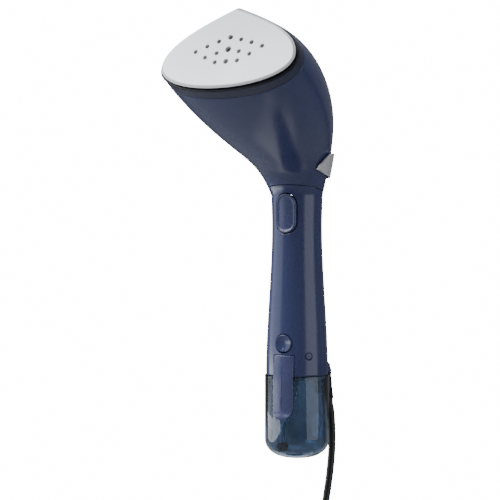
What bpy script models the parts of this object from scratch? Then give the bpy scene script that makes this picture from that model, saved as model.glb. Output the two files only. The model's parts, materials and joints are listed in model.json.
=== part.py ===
"""Hand-held garment steamer: head with a heated plate, grip, clear water tank and mains cord.

Units are metres, +Z is up. The grip's axis is the Z axis and its middle is the origin.
The plate looks forwards (-Y) and up. X is to the side."""

import bmesh
import bpy
from math import cos, pi, radians, sin, sqrt
from mathutils import Matrix, Vector

# Grip
NECK_R = 0.0205
WAIST_R = 0.0200
BASE_R = 0.0248
NECK_Z = 0.0672
WAIST_Z = 0.0440
BASE_Z = -0.0750
WALL = 0.0024
SEAM_Z = 0.0715
SEAM_SLOPE = 0.17

# Head: side profile and half width, from the neck to the plate
PLATE_AT = Vector((0, -0.110, 0.1685))
PLATE_LEAN = radians(21.2)
PLATE_HALF_W = 0.0554
PLATE_WIDEST = -0.0088
PLATE_TIP = 0.0346
PLATE_FOOT = 0.0306
BACK_RISE = 0.103
BACK_END = 0.004
FRONT_RISE = 0.026
FRONT_END = 0.091
FRONT_ANGLE = radians(37)
HALF_W_NEAR = 0.043
HALF_W_FAR = 0.061
SHAPE_POWER = 4
RIM_MARGIN = 0.0014

# Plate, seal and collar, as thicknesses behind the plate's face
PLATE_T = 0.0026
PLATE_BEVEL = 0.0015
GASKET_T = 0.0010
GASKET_MARGIN = 0.0009
COLLAR_T = 0.0066
STEAM_HOLE_R = 0.0014
MIDDLE_HOLE_R = 0.0021
AXIS_HOLE_R = 0.0017
HOLE_PITCH = 0.0092
HOLE_ROWS = ((0.0099, 3, 0.0029), (0.0, 2, 0.0026), (-0.0098, 1, 0.0))

# Steam engine behind the plate
CHAMBER_SHARE = 0.74
POCKET_SHARE = 0.60
CHAMBER_T = 0.0140
POCKET_T = 0.0080
COVER_T = 0.0020
HEATER_R = 0.0032
HEATER_HALF_W = 0.0160
HEATER_LEG = 0.0120
HEATER_TAIL = 0.0150
THERMOSTAT_R = 0.0065
THERMOSTAT_T = 0.0060
FUSE_R = 0.0018
FUSE_HALF_L = 0.0050
NOZZLE_R = 0.0032
NOZZLE_L = 0.0075
SCREW_R = 0.0014
SCREW_HEAD_R = 0.0028
SCREW_HEAD_T = 0.0018

# Controls
TRIGGER_Z = 0.0528
TRIGGER_W = 0.0170
TRIGGER_L = 0.0310
TRIGGER_PROUD = 0.0012
TRIGGER_T = 0.0028
TRIGGER_PIVOT = Vector((0, -0.0150, 0.0640))
TRIGGER_STEM_Z = 0.0420
TRIGGER_SPRING_Z = 0.0515
BUTTON_Z = -0.0492
BUTTON_R = 0.0070
BUTTON_T = 0.0034
BUTTON_TRAVEL = 0.0010
BUTTON_STEM_L = 0.0056
LIGHT_DROP = 0.0047
LIGHT_R = 0.0010
SLIDER_T = 0.0026
SLIDER_TRAVEL = 0.0060
SLIDER_LOW = 0.0810
SLIDER_STEM_Z = 0.0900
SLIDER_STEM_H = 0.0055
SLIDER_STEM_W = 0.0032
CAP_R = 0.0028
CAP_Z = -0.0592
CAP_ANGLE = radians(-41)
CAP_T = 0.0012
CAP_SINK = 0.0016

# Tank and its latch
TANK_R = 0.0258
TANK_WALL = 0.0018
TANK_FOOT = -0.1408
TANK_FLAT_R = 0.0084
TANK_ROUND_H = 0.0138
LID_T = 0.0024
TANK_NECK_R = 0.0070
TANK_NECK_L = 0.0085
SOCKET_T = 0.0034
SOCKET_CLEAR = 0.0012
SOCKET_WALL = 0.0022
SOCKET_L = 0.0165
SOCKET_DEPTH = 0.0100
SPIGOT_R = 0.0028
SPIGOT_L = 0.0055
FILTER_AT = (-0.0080, -0.0095)
FILTER_R = 0.0045
VALVE_AT = (0.0170, 0.0040)
VALVE_R = 0.0028
LATCH_TOP = -0.0585
LATCH_FOOT = -0.1090
LATCH_HALF_W = 0.0087
LATCH_T = 0.0020
LATCH_R = 0.0266
LATCH_FLARE_Z = -0.0800
LATCH_PIVOT = Vector((0, -0.0190, -0.0660))
LATCH_SPRING_Z = -0.0607
PIN_R = 0.0012
PIN_HALF_L = 0.0085
LUG_HALF_W = 0.0050
EAR_HALF_H = 0.0025

# Pump and electronics
PUMP_Y = 0.0080
PUMP_R = 0.0050
PUMP_BORE_R = 0.0037
PUMP_HALF_L = 0.0240
COIL_R = 0.0098
COIL_HALF_L = 0.0145
PLUNGER_R = 0.0033
PLUNGER_L = 0.0150
VALVE_BODY_L = 0.0040
VALVE_END_L = 0.0090
HOSE_R = 0.0021
BOARD_Y = -0.0086
BOARD_T = 0.0016
BOARD_HALF_W = 0.0143
BOARD_LOW = -0.0560
BOARD_SHOULDER = 0.0230
BOARD_TOP = 0.0550
BOARD_NECK_HALF_W = 0.0050
CAPACITOR_R = 0.0048
CAPACITOR_LOW = -0.0400
CAPACITOR_L = 0.0150
LEAD_R = 0.0012
CLAMP_LOW = -0.0640
CLAMP_H = 0.0060
CLAMP_NEAR = 0.0128
CLAMP_FAR = 0.0180
CLAMP_SIDES = (-0.0122, 0.0018)
HANDLE_SCREWS = ((0.0126, 0.0320), (0.0180, -0.0500))
BOSS_R = 0.0030
BOSS_SEAT = 0.0030

# Cord
CORD_R = 0.0031
CORD_ANGLE = radians(68)
CORD_OUT = 0.0320
CORD_BOSS_R = 0.0043
RELIEF_L = 0.0220
CORD_BOW = ((0.0370, -0.1090), (0.0381, -0.1240), (0.0379, -0.1390), (0.0366, -0.1520),
            (0.0343, -0.1660), (0.0314, -0.1800))
CORD_END_OUT = 0.0290
HANK_H = 0.126
HANK_W = 0.056
HANK_PITCH = 0.00625
HANK_T = 5 * HANK_PITCH
HANK_TOP = -0.1930
HANK_FOLD = HANK_W / 2 - HANK_PITCH / 2
TIE_H = 0.012
TIE_T = 0.0016
PLUG_R = 0.0178
PLUG_NECK_R = 0.0042
PLUG_NECK_L = 0.0180
PLUG_BODY_L = 0.0200
PLUG_PIN_R = 0.0024
PLUG_PIN_L = 0.0190
PLUG_PIN_APART = 0.0190
PLUG_PIN_SEAT = 0.0060

# Clearances
GAP = 0.0003
RUN_GAP = 0.0005

# Facets
AROUND = 32
FINE = 16
COARSE = 10
FAR = 0.5

X = Vector((1, 0, 0))
PLATE_UP = Vector((0, sin(PLATE_LEAN), cos(PLATE_LEAN)))
PLATE_OUT = Vector((0, -cos(PLATE_LEAN), sin(PLATE_LEAN)))
PLATE_FRAME = Matrix((
    (1, 0, 0, PLATE_AT.x),
    (0, PLATE_UP.y, PLATE_OUT.y, PLATE_AT.y),
    (0, PLATE_UP.z, PLATE_OUT.z, PLATE_AT.z),
    (0, 0, 0, 1),
))
GASKET_FACE = PLATE_T + GAP
COLLAR_FACE = GASKET_FACE + GASKET_T + GAP
HOUSING_FACE = COLLAR_FACE + COLLAR_T + GAP
CHAMBER_FACE = PLATE_T + GAP
COVER_FACE = CHAMBER_FACE + CHAMBER_T + GAP
COVER_BACK = COVER_FACE + COVER_T
TANK_TOP = BASE_Z - GAP
CORD_WAY = Vector((cos(CORD_ANGLE), sin(CORD_ANGLE), 0))


# ---------- small helpers ----------
def smooth(u):
    u = min(max(u, 0), 1)
    return u * u * (3 - 2 * u)


def bezier(points, u):
    a, b, c, d = points
    v = 1 - u
    return a * v ** 3 + b * (3 * u * v * v) + c * (3 * u * u * v) + d * u ** 3


def material(name, colour, roughness, metallic=0.0, transmission=0.0):
    made = bpy.data.materials.get(name)
    if made:
        return made
    made = bpy.data.materials.new(name)
    made.use_nodes = True
    shader = made.node_tree.nodes["Principled BSDF"]
    shader.inputs["Base Color"].default_value = (*colour, 1)
    shader.inputs["Roughness"].default_value = roughness
    shader.inputs["Metallic"].default_value = metallic
    shader.inputs["Transmission Weight"].default_value = transmission
    made.diffuse_color = (*colour, 1)
    return made


NAVY = ("navy_plastic", (0.040, 0.055, 0.125), 0.22)
DARK_NAVY = ("dark_navy_plastic", (0.018, 0.022, 0.050), 0.35)
SILVER = ("silver_plastic", (0.45, 0.45, 0.45), 0.3, 0.6)
SATIN = ("plate_coating", (0.72, 0.73, 0.73), 0.3, 0.7)
RUBBER = ("black_rubber", (0.012, 0.012, 0.014), 0.6)
CAST = ("cast_aluminium", (0.55, 0.55, 0.56), 0.5, 1.0)
STEEL = ("steel", (0.6, 0.6, 0.6), 0.3, 1.0)
COPPER = ("copper_coil", (0.65, 0.30, 0.15), 0.35, 1.0)
WHITE = ("white_plastic", (0.75, 0.75, 0.72), 0.45)
GREEN = ("board_green", (0.02, 0.16, 0.07), 0.4)
BLACK = ("black_plastic", (0.02, 0.02, 0.022), 0.45)
SMOKE = ("smoked_clear_plastic", (0.12, 0.17, 0.24), 0.08, 0.0, 0.8)
SILICONE = ("silicone", (0.62, 0.66, 0.68), 0.4)
LENS = ("lit_lens", (0.20, 0.45, 0.90), 0.2)
PVC = ("cord_pvc", (0.012, 0.012, 0.012), 0.5)


def solid(name, bm, finish, frame=None):
    """An object from a bmesh, with its normals outwards and its round faces smooth."""
    bmesh.ops.remove_doubles(bm, verts=bm.verts, dist=1e-6)
    bmesh.ops.recalc_face_normals(bm, faces=bm.faces)
    if frame:
        bm.transform(frame)
    mesh = bpy.data.meshes.new(name)
    bm.to_mesh(mesh)
    bm.free()
    obj = bpy.data.objects.new(name, mesh)
    bpy.context.collection.objects.link(obj)
    if finish is None:
        obj.hide_render = True
        obj.display_type = "WIRE"
    else:
        mesh.materials.append(material(*finish))
        mesh.shade_smooth()
        mesh.set_sharp_from_angle(angle=radians(35))
    return obj


def cut(obj, other, operation="DIFFERENCE"):
    """A Boolean with another object, which becomes a hidden helper."""
    other.hide_render = True
    other.display_type = "WIRE"
    modifier = obj.modifiers.new(operation.lower(), "BOOLEAN")
    modifier.operation = operation
    modifier.solver = "EXACT"
    modifier.object = other


def put_origin(obj, place):
    """Moves the origin to a joint's axis and leaves the shape where it is."""
    obj.data.transform(Matrix.Translation(-place))
    obj.location = place


def skin(bm, rings, closed=False):
    """Joins rings of points with quads, and closes the ends unless the rings make a loop."""
    made = [[bm.verts.new(p) for p in ring] for ring in rings]
    count = len(made[0])
    pairs = list(zip(made, made[1:])) + ([(made[-1], made[0])] if closed else [])
    for low, high in pairs:
        for i in range(count):
            j = (i + 1) % count
            bm.faces.new((low[i], low[j], high[j], high[i]))
    if not closed:
        bm.faces.new(made[0])
        bm.faces.new(made[-1][::-1])


def loft(name, rings, finish, closed=False, frame=None):
    bm = bmesh.new()
    skin(bm, rings, closed)
    return solid(name, bm, finish, frame)


def circle(radius, z, count, at=(0, 0)):
    turn = [2 * pi * i / count for i in range(count)]
    return [Vector((at[0] + radius * sin(a), at[1] + radius * cos(a), z)) for a in turn]


def turned(name, profile, finish, count=FINE, at=(0, 0), frame=None):
    """A solid turned about the Z axis; the profile's (radius, z) points run from end to end."""
    rings = [circle(r, z, count, at) for r, z in profile]
    return loft(name, rings, finish, frame=frame)


def turned_ring(name, profile, finish, count=FINE, at=(0, 0), frame=None):
    """A turned solid with a hole through it; the profile is a closed outline off the axis."""
    rings = [circle(r, z, count, at) for r, z in profile]
    return loft(name, rings, finish, closed=True, frame=frame)


def tube_profile(inner, outer, low, high):
    return ((outer, low), (outer, high), (inner, high), (inner, low))


def box(name, low, high, finish, frame=None, bevel=0.0):
    bm = bmesh.new()
    bmesh.ops.create_cube(bm, size=1)
    low, high = Vector(low), Vector(high)
    size = high - low
    bm.transform(Matrix.Translation((low + high) / 2) @ Matrix.Diagonal((*size, 1)))
    if bevel:
        bmesh.ops.bevel(bm, geom=bm.edges[:], offset=bevel, segments=1, affect="EDGES")
    return solid(name, bm, finish, frame)


def along(axis, at=(0, 0, 0)):
    """A frame whose Z runs along axis, at a place."""
    return Matrix.Translation(at) @ Vector(axis).to_track_quat("Z", "Y").to_matrix().to_4x4()


def rod(name, start, end, radius, finish, count=COARSE):
    start, end = Vector(start), Vector(end)
    way = end - start
    return turned(name, ((radius, 0), (radius, way.length)), finish, count, frame=along(way, start))


def prism(name, outline, low, high, finish, frame=None):
    """An outline of (x, y) points extruded along Z."""
    rings = [[Vector((x, y, z)) for x, y in outline] for z in (low, high)]
    return loft(name, rings, finish, frame=frame)


def facing(outline_y):
    """A frame that stands an (x, z) outline up: its local Z runs along -Y."""
    return Matrix(((1, 0, 0, 0), (0, 0, -1, outline_y), (0, 1, 0, 0), (0, 0, 0, 1)))


def beyond(name, point, way):
    """A hidden block that fills everything past a plane."""
    bm = bmesh.new()
    bmesh.ops.create_cube(bm, size=FAR)
    bm.transform(along(way, point) @ Matrix.Translation((0, 0, FAR / 2)))
    return solid(name, bm, None)


def smooth_line(points, steps):
    """Points on one smooth curve through a few chosen ones."""
    points = [Vector(p) for p in points]
    ends = [points[0] * 2 - points[1]] + points + [points[-1] * 2 - points[-2]]
    line = []
    for a, b, c, d in zip(ends, ends[1:], ends[2:], ends[3:]):
        for k in range(steps):
            t = k / steps
            line.append(
                (b * 2 + (c - a) * t + (a * 2 - b * 5 + c * 4 - d) * t ** 2
                 + (b * 3 - a - c * 3 + d) * t ** 3) / 2
            )
    return line + [points[-1]]


def tube(name, line, radius, finish, sides=2):
    """A round bar along a line of points, as a bevelled curve with filled caps."""
    curve = bpy.data.curves.new(name, "CURVE")
    curve.dimensions = "3D"
    spline = curve.splines.new("POLY")
    spline.points.add(len(line) - 1)
    for point, place in zip(spline.points, line):
        point.co = (*place, 1)
    curve.bevel_depth = radius
    curve.bevel_resolution = sides
    curve.use_fill_caps = True
    curve.materials.append(material(*finish))
    obj = bpy.data.objects.new(name, curve)
    bpy.context.collection.objects.link(obj)
    return obj


def spring(name, start, end, radius, wire, turns, finish=STEEL):
    """A coil spring from one point to another."""
    start, end = Vector(start), Vector(end)
    way = end - start
    frame = along(way, start)
    count = 9 * turns
    line = []
    for i in range(count + 1):
        turn = 2 * pi * turns * i / count
        height = wire + (way.length - 2 * wire) * i / count
        line.append(frame @ Vector((radius * cos(turn), radius * sin(turn), height)))
    return tube(name, line, wire, finish, sides=0)


def stadium(half_w, half_l, count=COARSE):
    """A slot outline with round ends, long along its second axis."""
    straight = half_l - half_w
    points = []
    for i in range(count + 1):
        a = pi * i / count
        points.append((half_w * cos(a), straight + half_w * sin(a)))
    return points + [(-x, -y) for x, y in points]


# ---------- the outer surface ----------
def grip_radius(z):
    if z > WAIST_Z:
        return WAIST_R + (NECK_R - WAIST_R) * smooth((z - WAIST_Z) / (NECK_Z - WAIST_Z))
    return WAIST_R + (BASE_R - WAIST_R) * smooth((WAIST_Z - z) / (WAIST_Z - BASE_Z))


def plate_outline(count):
    """The plate's outline about its middle hole: a pointed top, round shoulders and a low curved foot."""
    top = [Vector(p) for p in ((0, PLATE_TIP), (0.0280, 0.0224), (PLATE_HALF_W, 0.0088),
                               (PLATE_HALF_W, PLATE_WIDEST))]
    low = [Vector(p) for p in ((PLATE_HALF_W, PLATE_WIDEST), (PLATE_HALF_W, -0.0224),
                               (0.0304, -PLATE_FOOT), (0, -PLATE_FOOT))]
    quarter = count // 4
    half = [bezier(top, i / quarter) for i in range(quarter)]
    half += [bezier(low, i / quarter) for i in range(quarter + 1)]
    return half + [Vector((-p.x, p.y)) for p in half[-2:0:-1]]


def plate_ring(share_or_inset, depth, count=AROUND, share=False):
    """The plate's outline drawn in by an inset, or to a share of its size, at a depth behind its face."""
    ring = []
    for p in plate_outline(count):
        scale_x = share_or_inset if share else 1 - share_or_inset / PLATE_HALF_W
        reach = PLATE_TIP if p.y > 0 else PLATE_FOOT
        scale_y = share_or_inset if share else 1 - share_or_inset / reach
        ring.append(Vector((p.x * scale_x, p.y * scale_y, -depth)))
    return ring


def head_ring(s, inset=0.0):
    """The head's outline at s, from 0 at the neck to 1 behind the plate."""
    foot_face = PLATE_AT - PLATE_OUT * COLLAR_FACE
    tip = foot_face + PLATE_UP * (PLATE_TIP + RIM_MARGIN)
    foot = foot_face - PLATE_UP * (PLATE_FOOT + RIM_MARGIN)
    back_start = Vector((0, NECK_R, NECK_Z))
    front_start = Vector((0, -NECK_R, NECK_Z))
    up = Vector((0, 0, 1))
    front_way = Vector((0, -cos(FRONT_ANGLE), sin(FRONT_ANGLE)))
    back = bezier((back_start, back_start + up * BACK_RISE, tip + Vector((0, BACK_END, 0)), tip), s)
    front = bezier((front_start, front_start + up * FRONT_RISE, foot - front_way * FRONT_END, foot), s)
    half_w = bezier((NECK_R, HALF_W_NEAR, HALF_W_FAR, PLATE_HALF_W + RIM_MARGIN), s) - inset
    middle = (back + front) / 2
    rise = (back - front) / 2
    rise = rise * ((rise.length - inset) / rise.length)
    mid, half = (PLATE_TIP - PLATE_FOOT) / 2, (PLATE_TIP + PLATE_FOOT) / 2
    blend = s ** SHAPE_POWER
    ring = []
    for i, p in enumerate(plate_outline(AROUND)):
        turn = 2 * pi * i / AROUND
        side = sin(turn) * (1 - blend) + p.x / PLATE_HALF_W * blend
        height = cos(turn) * (1 - blend) + (p.y - mid) / half * blend
        ring.append(middle + X * (half_w * side) + rise * height)
    return ring


def outer_shell(name, finish, heights, shares, inset=0.0, wall=WALL):
    """A stretch of the hollow body: grip rings at the heights, then head rings at the shares."""
    rings = []
    for depth in (inset, inset + wall):
        part = [circle(grip_radius(z) - depth, z, AROUND) for z in heights]
        part += [head_ring(s, depth) for s in shares]
        rings += part if depth == inset else part[::-1]
    return loft(name, rings, finish, closed=True)


def steps(start, end, count):
    return [start + (end - start) * i / count for i in range(count + 1)]


def seam_plane(name, upwards):
    """A hidden block past one side of the joint between grip and head."""
    normal = Vector((0, SEAM_SLOPE, 1)).normalized() * (1 if upwards else -1)
    return beyond(name, Vector((0, 0, SEAM_Z)) - normal * (GAP / 2), normal)


def behind_plate(name, depth, outwards):
    """A hidden block past one side of a plane parallel to the plate."""
    way = PLATE_OUT if outwards else -PLATE_OUT
    return beyond(name, PLATE_AT - PLATE_OUT * depth, way)


# ---------- head ----------
def slider_outline():
    """The thumb slider seen from the side, as (y, z) points: a band that wraps the back of the neck."""
    low = SLIDER_LOW
    return ((-0.0193, low + 0.0054), (-0.0204, low + 0.0095), (-0.0190, low + 0.0145),
            (-0.0150, low + 0.0180), (0.0110, low + 0.0195), (0.0260, low + 0.0250),
            (0.0260, low), (0.0080, low + 0.0002), (-0.0069, low + 0.0018))


def make_head_housing():
    housing = outer_shell("head_housing", NAVY, steps(0.0600, NECK_Z, 2), steps(0.05, 1, 12))
    cut(housing, seam_plane("cut_head_below", False))
    cut(housing, behind_plate("cut_head_face", HOUSING_FACE, True))
    half_w = SLIDER_STEM_W / 2 + 2 * GAP
    slot = box("cut_slider_slot", (-half_w, 0.0080, SLIDER_STEM_Z - SLIDER_TRAVEL),
               (half_w, 0.0300, SLIDER_STEM_Z + SLIDER_STEM_H + 2 * RUN_GAP), None)
    cut(housing, slot)
    return housing


def make_collar():
    collar = outer_shell("heat_collar", DARK_NAVY, [], steps(0.72, 1, 5))
    cut(collar, behind_plate("cut_collar_back", HOUSING_FACE - GAP, False))


def make_gasket():
    faces = (GASKET_FACE, GASKET_FACE + GASKET_T)
    outer, inner = -GASKET_MARGIN, WALL
    rings = [plate_ring(outer, faces[0]), plate_ring(outer, faces[1]),
             plate_ring(inner, faces[1]), plate_ring(inner, faces[0])]
    loft("plate_gasket", rings, RUBBER, closed=True, frame=PLATE_FRAME)


def steam_holes():
    """Every hole as (x, up, radius): chevron rows of seven, five and three."""
    holes = []
    for height, side, drop in HOLE_ROWS:
        middle = MIDDLE_HOLE_R if height == 0 else AXIS_HOLE_R
        holes.append((0, height, middle))
        for i in range(1, side + 1):
            for way in (-1, 1):
                fall = drop * i * (0.8 + 0.1 * i)
                holes.append((way * i * HOLE_PITCH, height - fall, STEAM_HOLE_R))
    return holes


def make_plate():
    rings = [plate_ring(PLATE_BEVEL, 0), plate_ring(0.0004, 0.0005), plate_ring(0, 0.0012),
             plate_ring(0, PLATE_T)]
    plate = loft("steam_plate", rings, SATIN, frame=PLATE_FRAME)
    bm = bmesh.new()
    for x, up, radius in steam_holes():
        skin(bm, [circle(radius, z, 10, (x, up)) for z in (-2 * PLATE_T, PLATE_T)])
    cut(plate, solid("cut_steam_holes", bm, None, PLATE_FRAME))


CHAMBER_SCREWS = ((-0.0300, -0.0060), (0.0300, -0.0060), (0, 0.0130))


def make_steam_engine():
    back = CHAMBER_FACE + CHAMBER_T
    pocket_floor = back - POCKET_T
    chamber = loft("steam_chamber", [plate_ring(CHAMBER_SHARE, d, 24, True) for d in (CHAMBER_FACE, back)],
                   CAST, frame=PLATE_FRAME)
    pocket = loft("cut_pocket", [plate_ring(POCKET_SHARE, d, 24, True) for d in (pocket_floor, back + GAP)],
                  None, frame=PLATE_FRAME)
    posts = bmesh.new()
    for at in CHAMBER_SCREWS:
        skin(posts, [circle(SCREW_HEAD_R + 0.001, -d, COARSE, at) for d in (CHAMBER_FACE, back + 2 * GAP)])
    cut(pocket, solid("cut_posts", posts, None, PLATE_FRAME))
    cut(chamber, pocket)
    cover = loft("chamber_cover",
                 [plate_ring(CHAMBER_SHARE, d, 24, True) for d in (COVER_FACE, COVER_BACK)],
                 CAST, frame=PLATE_FRAME)
    bores = bmesh.new()
    for at in CHAMBER_SCREWS:
        skin(bores, [circle(SCREW_R + GAP, -d, COARSE, at) for d in (back - 0.0075, COVER_BACK + GAP)])
    bores = solid("cut_chamber_bores", bores, None, PLATE_FRAME)
    cut(chamber, bores)
    cut(cover, bores)
    head = COVER_BACK + GAP
    for number, at in enumerate(CHAMBER_SCREWS, 1):
        turned(f"chamber_screw_{number}",
               ((SCREW_R, 0.0070 - back), (SCREW_R, -head), (SCREW_HEAD_R, -head),
                (SCREW_HEAD_R, -head - SCREW_HEAD_T)),
               STEEL, COARSE, at, PLATE_FRAME)
    thermostat_back = head + THERMOSTAT_T
    turned("thermostat", ((THERMOSTAT_R, -head), (THERMOSTAT_R, -thermostat_back + 0.002),
                          (THERMOSTAT_R - 0.002, -thermostat_back)), STEEL, FINE, (0, 0.0020), PLATE_FRAME)
    turned("steam_nozzle", ((NOZZLE_R, -head), (NOZZLE_R, -head - 0.003), (HOSE_R, -head - 0.0035),
                            (HOSE_R, -head - NOZZLE_L)), CAST, COARSE, (0, -0.0090), PLATE_FRAME)
    fuse_depth = -head - FUSE_R
    rod("thermal_fuse", PLATE_FRAME @ Vector((-FUSE_HALF_L, 0.0195, fuse_depth)),
        PLATE_FRAME @ Vector((FUSE_HALF_L, 0.0195, fuse_depth)), FUSE_R, WHITE)
    return head


def make_heater(head):
    """A sheathed heating element bent to a U, its two ends turned up off the cover."""
    depth = -head - HEATER_R
    low = -0.0020
    right = [Vector((HEATER_HALF_W, HEATER_LEG, depth - HEATER_TAIL)),
             Vector((HEATER_HALF_W, HEATER_LEG, depth - 0.0060)),
             Vector((HEATER_HALF_W, HEATER_LEG - 0.0025, depth - 0.0012)),
             Vector((HEATER_HALF_W, HEATER_LEG - 0.0065, depth))]
    bend = [Vector((HEATER_HALF_W * cos(a), low - HEATER_HALF_W * sin(a), depth))
            for a in steps(0, pi, 12)]
    left = [Vector((-p.x, p.y, p.z)) for p in reversed(right)]
    line = [PLATE_FRAME @ p for p in right + bend + left]
    tube("heating_element", line, HEATER_R, STEEL, sides=2)


def make_slider():
    """The silver thumb slider that wraps the back of the neck, with a stem through the housing."""
    band = outer_shell("lock_slider", SILVER, steps(0.0600, NECK_Z, 2), steps(0.04, 0.40, 9),
                       inset=-RUN_GAP - SLIDER_T, wall=SLIDER_T)
    side = prism("cut_slider_side", slider_outline(), -0.05, 0.05, None,
                 Matrix(((0, 0, 1, 0), (1, 0, 0, 0), (0, 1, 0, 0), (0, 0, 0, 1))))
    cut(band, side, "INTERSECT")
    stem = box("join_slider_stem", (-SLIDER_STEM_W / 2, 0.0125, SLIDER_STEM_Z),
               (SLIDER_STEM_W / 2, 0.0195, SLIDER_STEM_Z + SLIDER_STEM_H), None)
    cut(band, stem, "UNION")
    put_origin(band, Vector((0, NECK_R, SLIDER_LOW)))


# ---------- grip ----------
def trigger_shape(name, grow, low, high, finish):
    half_w, half_l = TRIGGER_W / 2 + grow, TRIGGER_L / 2 + grow
    frame = Matrix.Translation((0, 0, TRIGGER_Z)) @ facing(0)
    return prism(name, stadium(half_w, half_l), -low, -high, finish, frame)


def latch_radius(z):
    """The latch follows the grip at its top and stands over the tank's front lower down."""
    top = grip_radius(LATCH_TOP) + 0.0003
    return top + (LATCH_R - top) * smooth((LATCH_TOP - z) / (LATCH_TOP - LATCH_FLARE_Z))


def latch_outline(grow):
    """The latch seen from the front: a straight tongue with a round lower end."""
    half_w = LATCH_HALF_W + grow
    middle = LATCH_FOOT + LATCH_HALF_W
    points = [(half_w, LATCH_TOP + grow), (-half_w, LATCH_TOP + grow)]
    for a in steps(pi, 2 * pi, COARSE):
        points.append((half_w * cos(a), middle + half_w * sin(a)))
    return points


def latch_block(name, grow, inner, outer, foot=0.0):
    """A hidden block with the latch's outline, between two offsets from its face."""
    heights = steps(LATCH_TOP + 0.02, LATCH_FOOT - 0.02, 12)
    rings = [circle(latch_radius(z) + outer, z, AROUND) for z in heights]
    rings += [circle(latch_radius(z) + inner, z, AROUND) for z in reversed(heights)]
    block = loft(name, rings, None, closed=True)
    outline = latch_outline(grow)
    if foot:
        outline = [(x, z + foot) if z > LATCH_TOP - 0.001 else (x, z) for x, z in outline]
    cut(block, prism(name + "_side", outline, 0.005, 0.05, None, facing(0)), "INTERSECT")
    return block


def screw_places():
    for row, (x, z) in enumerate(HANDLE_SCREWS):
        for column, way in enumerate((-1, 1)):
            yield 2 * row + column + 1, way * x, z


def make_grip_shells():
    heights = steps(BASE_Z, NECK_Z, 9)
    shells = []
    for name, way in (("handle_front_shell", 1), ("handle_rear_shell", -1)):
        shell = outer_shell(name, NAVY, heights, steps(0.04, 0.20, 4))
        cut(shell, beyond(f"cut_{name}_half", Vector((0, -way * GAP / 2, 0)), Vector((0, way, 0))))
        cut(shell, seam_plane(f"cut_{name}_top", True))
        for number, x, z in screw_places():
            reach = sqrt((grip_radius(z) - WALL) ** 2 - x * x)
            inner = Vector((x, -way * GAP / 2, z))
            outer = Vector((x, -way * (reach - 0.0002), z))
            cut(shell, rod(f"join_{name}_boss_{number}", inner, outer, BOSS_R, None), "UNION")
            if way > 0:
                bore = rod(f"cut_{name}_bore_{number}", inner + Vector((0, 0.001, 0)),
                           inner - Vector((0, 0.0070, 0)), SCREW_R + GAP, None)
            else:
                bore = turned(f"cut_{name}_bore_{number}",
                              ((SCREW_R + GAP, -0.001), (SCREW_R + GAP, BOSS_SEAT),
                               (SCREW_HEAD_R - GAP, BOSS_SEAT), (SCREW_HEAD_R - GAP, 0.0300)),
                              None, COARSE, frame=along((0, 1, 0), inner))
            cut(shell, bore)
        shells.append(shell)
    return shells


def make_handle_screws():
    for number, x, z in screw_places():
        turned(f"handle_screw_{number}",
               ((SCREW_R, -0.0065), (SCREW_R, BOSS_SEAT + GAP), (SCREW_HEAD_R - 2 * GAP, BOSS_SEAT + GAP),
                (SCREW_HEAD_R - 2 * GAP, BOSS_SEAT + GAP + SCREW_HEAD_T)),
               STEEL, COARSE, frame=along((0, 1, 0), (x, 0, z)))


def make_pin_ears(shell, pivot, name, inside, outside, reach):
    """Two ears on the front shell that hold a cross pin."""
    for way, side in ((-1, "left"), (1, "right")):
        xs = sorted((way * inside, way * outside))
        ear = box(f"join_{name}_ear_{side}", (xs[0], pivot.y - reach, pivot.z - EAR_HALF_H),
                  (xs[1], pivot.y + EAR_HALF_H, pivot.z + EAR_HALF_H), None)
        cut(shell, ear, "UNION")
    bore = rod(f"cut_{name}_bore", pivot - X * (inside + 0.0030), pivot + X * (inside + 0.0030),
               PIN_R + 0.0002, None)
    cut(shell, bore)


def make_cap_seats(shell):
    for way, side in ((-1, "left"), (1, "right")):
        radius = grip_radius(CAP_Z)
        out = Vector((way * cos(CAP_ANGLE), sin(CAP_ANGLE), 0))
        seat = rod(f"cut_cap_seat_{side}", Vector((0, 0, CAP_Z)) + out * (radius - CAP_SINK),
                   Vector((0, 0, CAP_Z)) + out * (radius + 0.003), CAP_R + GAP, None, FINE)
        cut(shell, seat)
        turned(f"screw_cap_{side}", ((CAP_R, 0), (CAP_R, CAP_T - GAP), (CAP_R - 2 * GAP, CAP_T)), NAVY, FINE,
               frame=along(out, Vector((0, 0, CAP_Z)) + out * (radius - CAP_SINK + GAP)))


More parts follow.
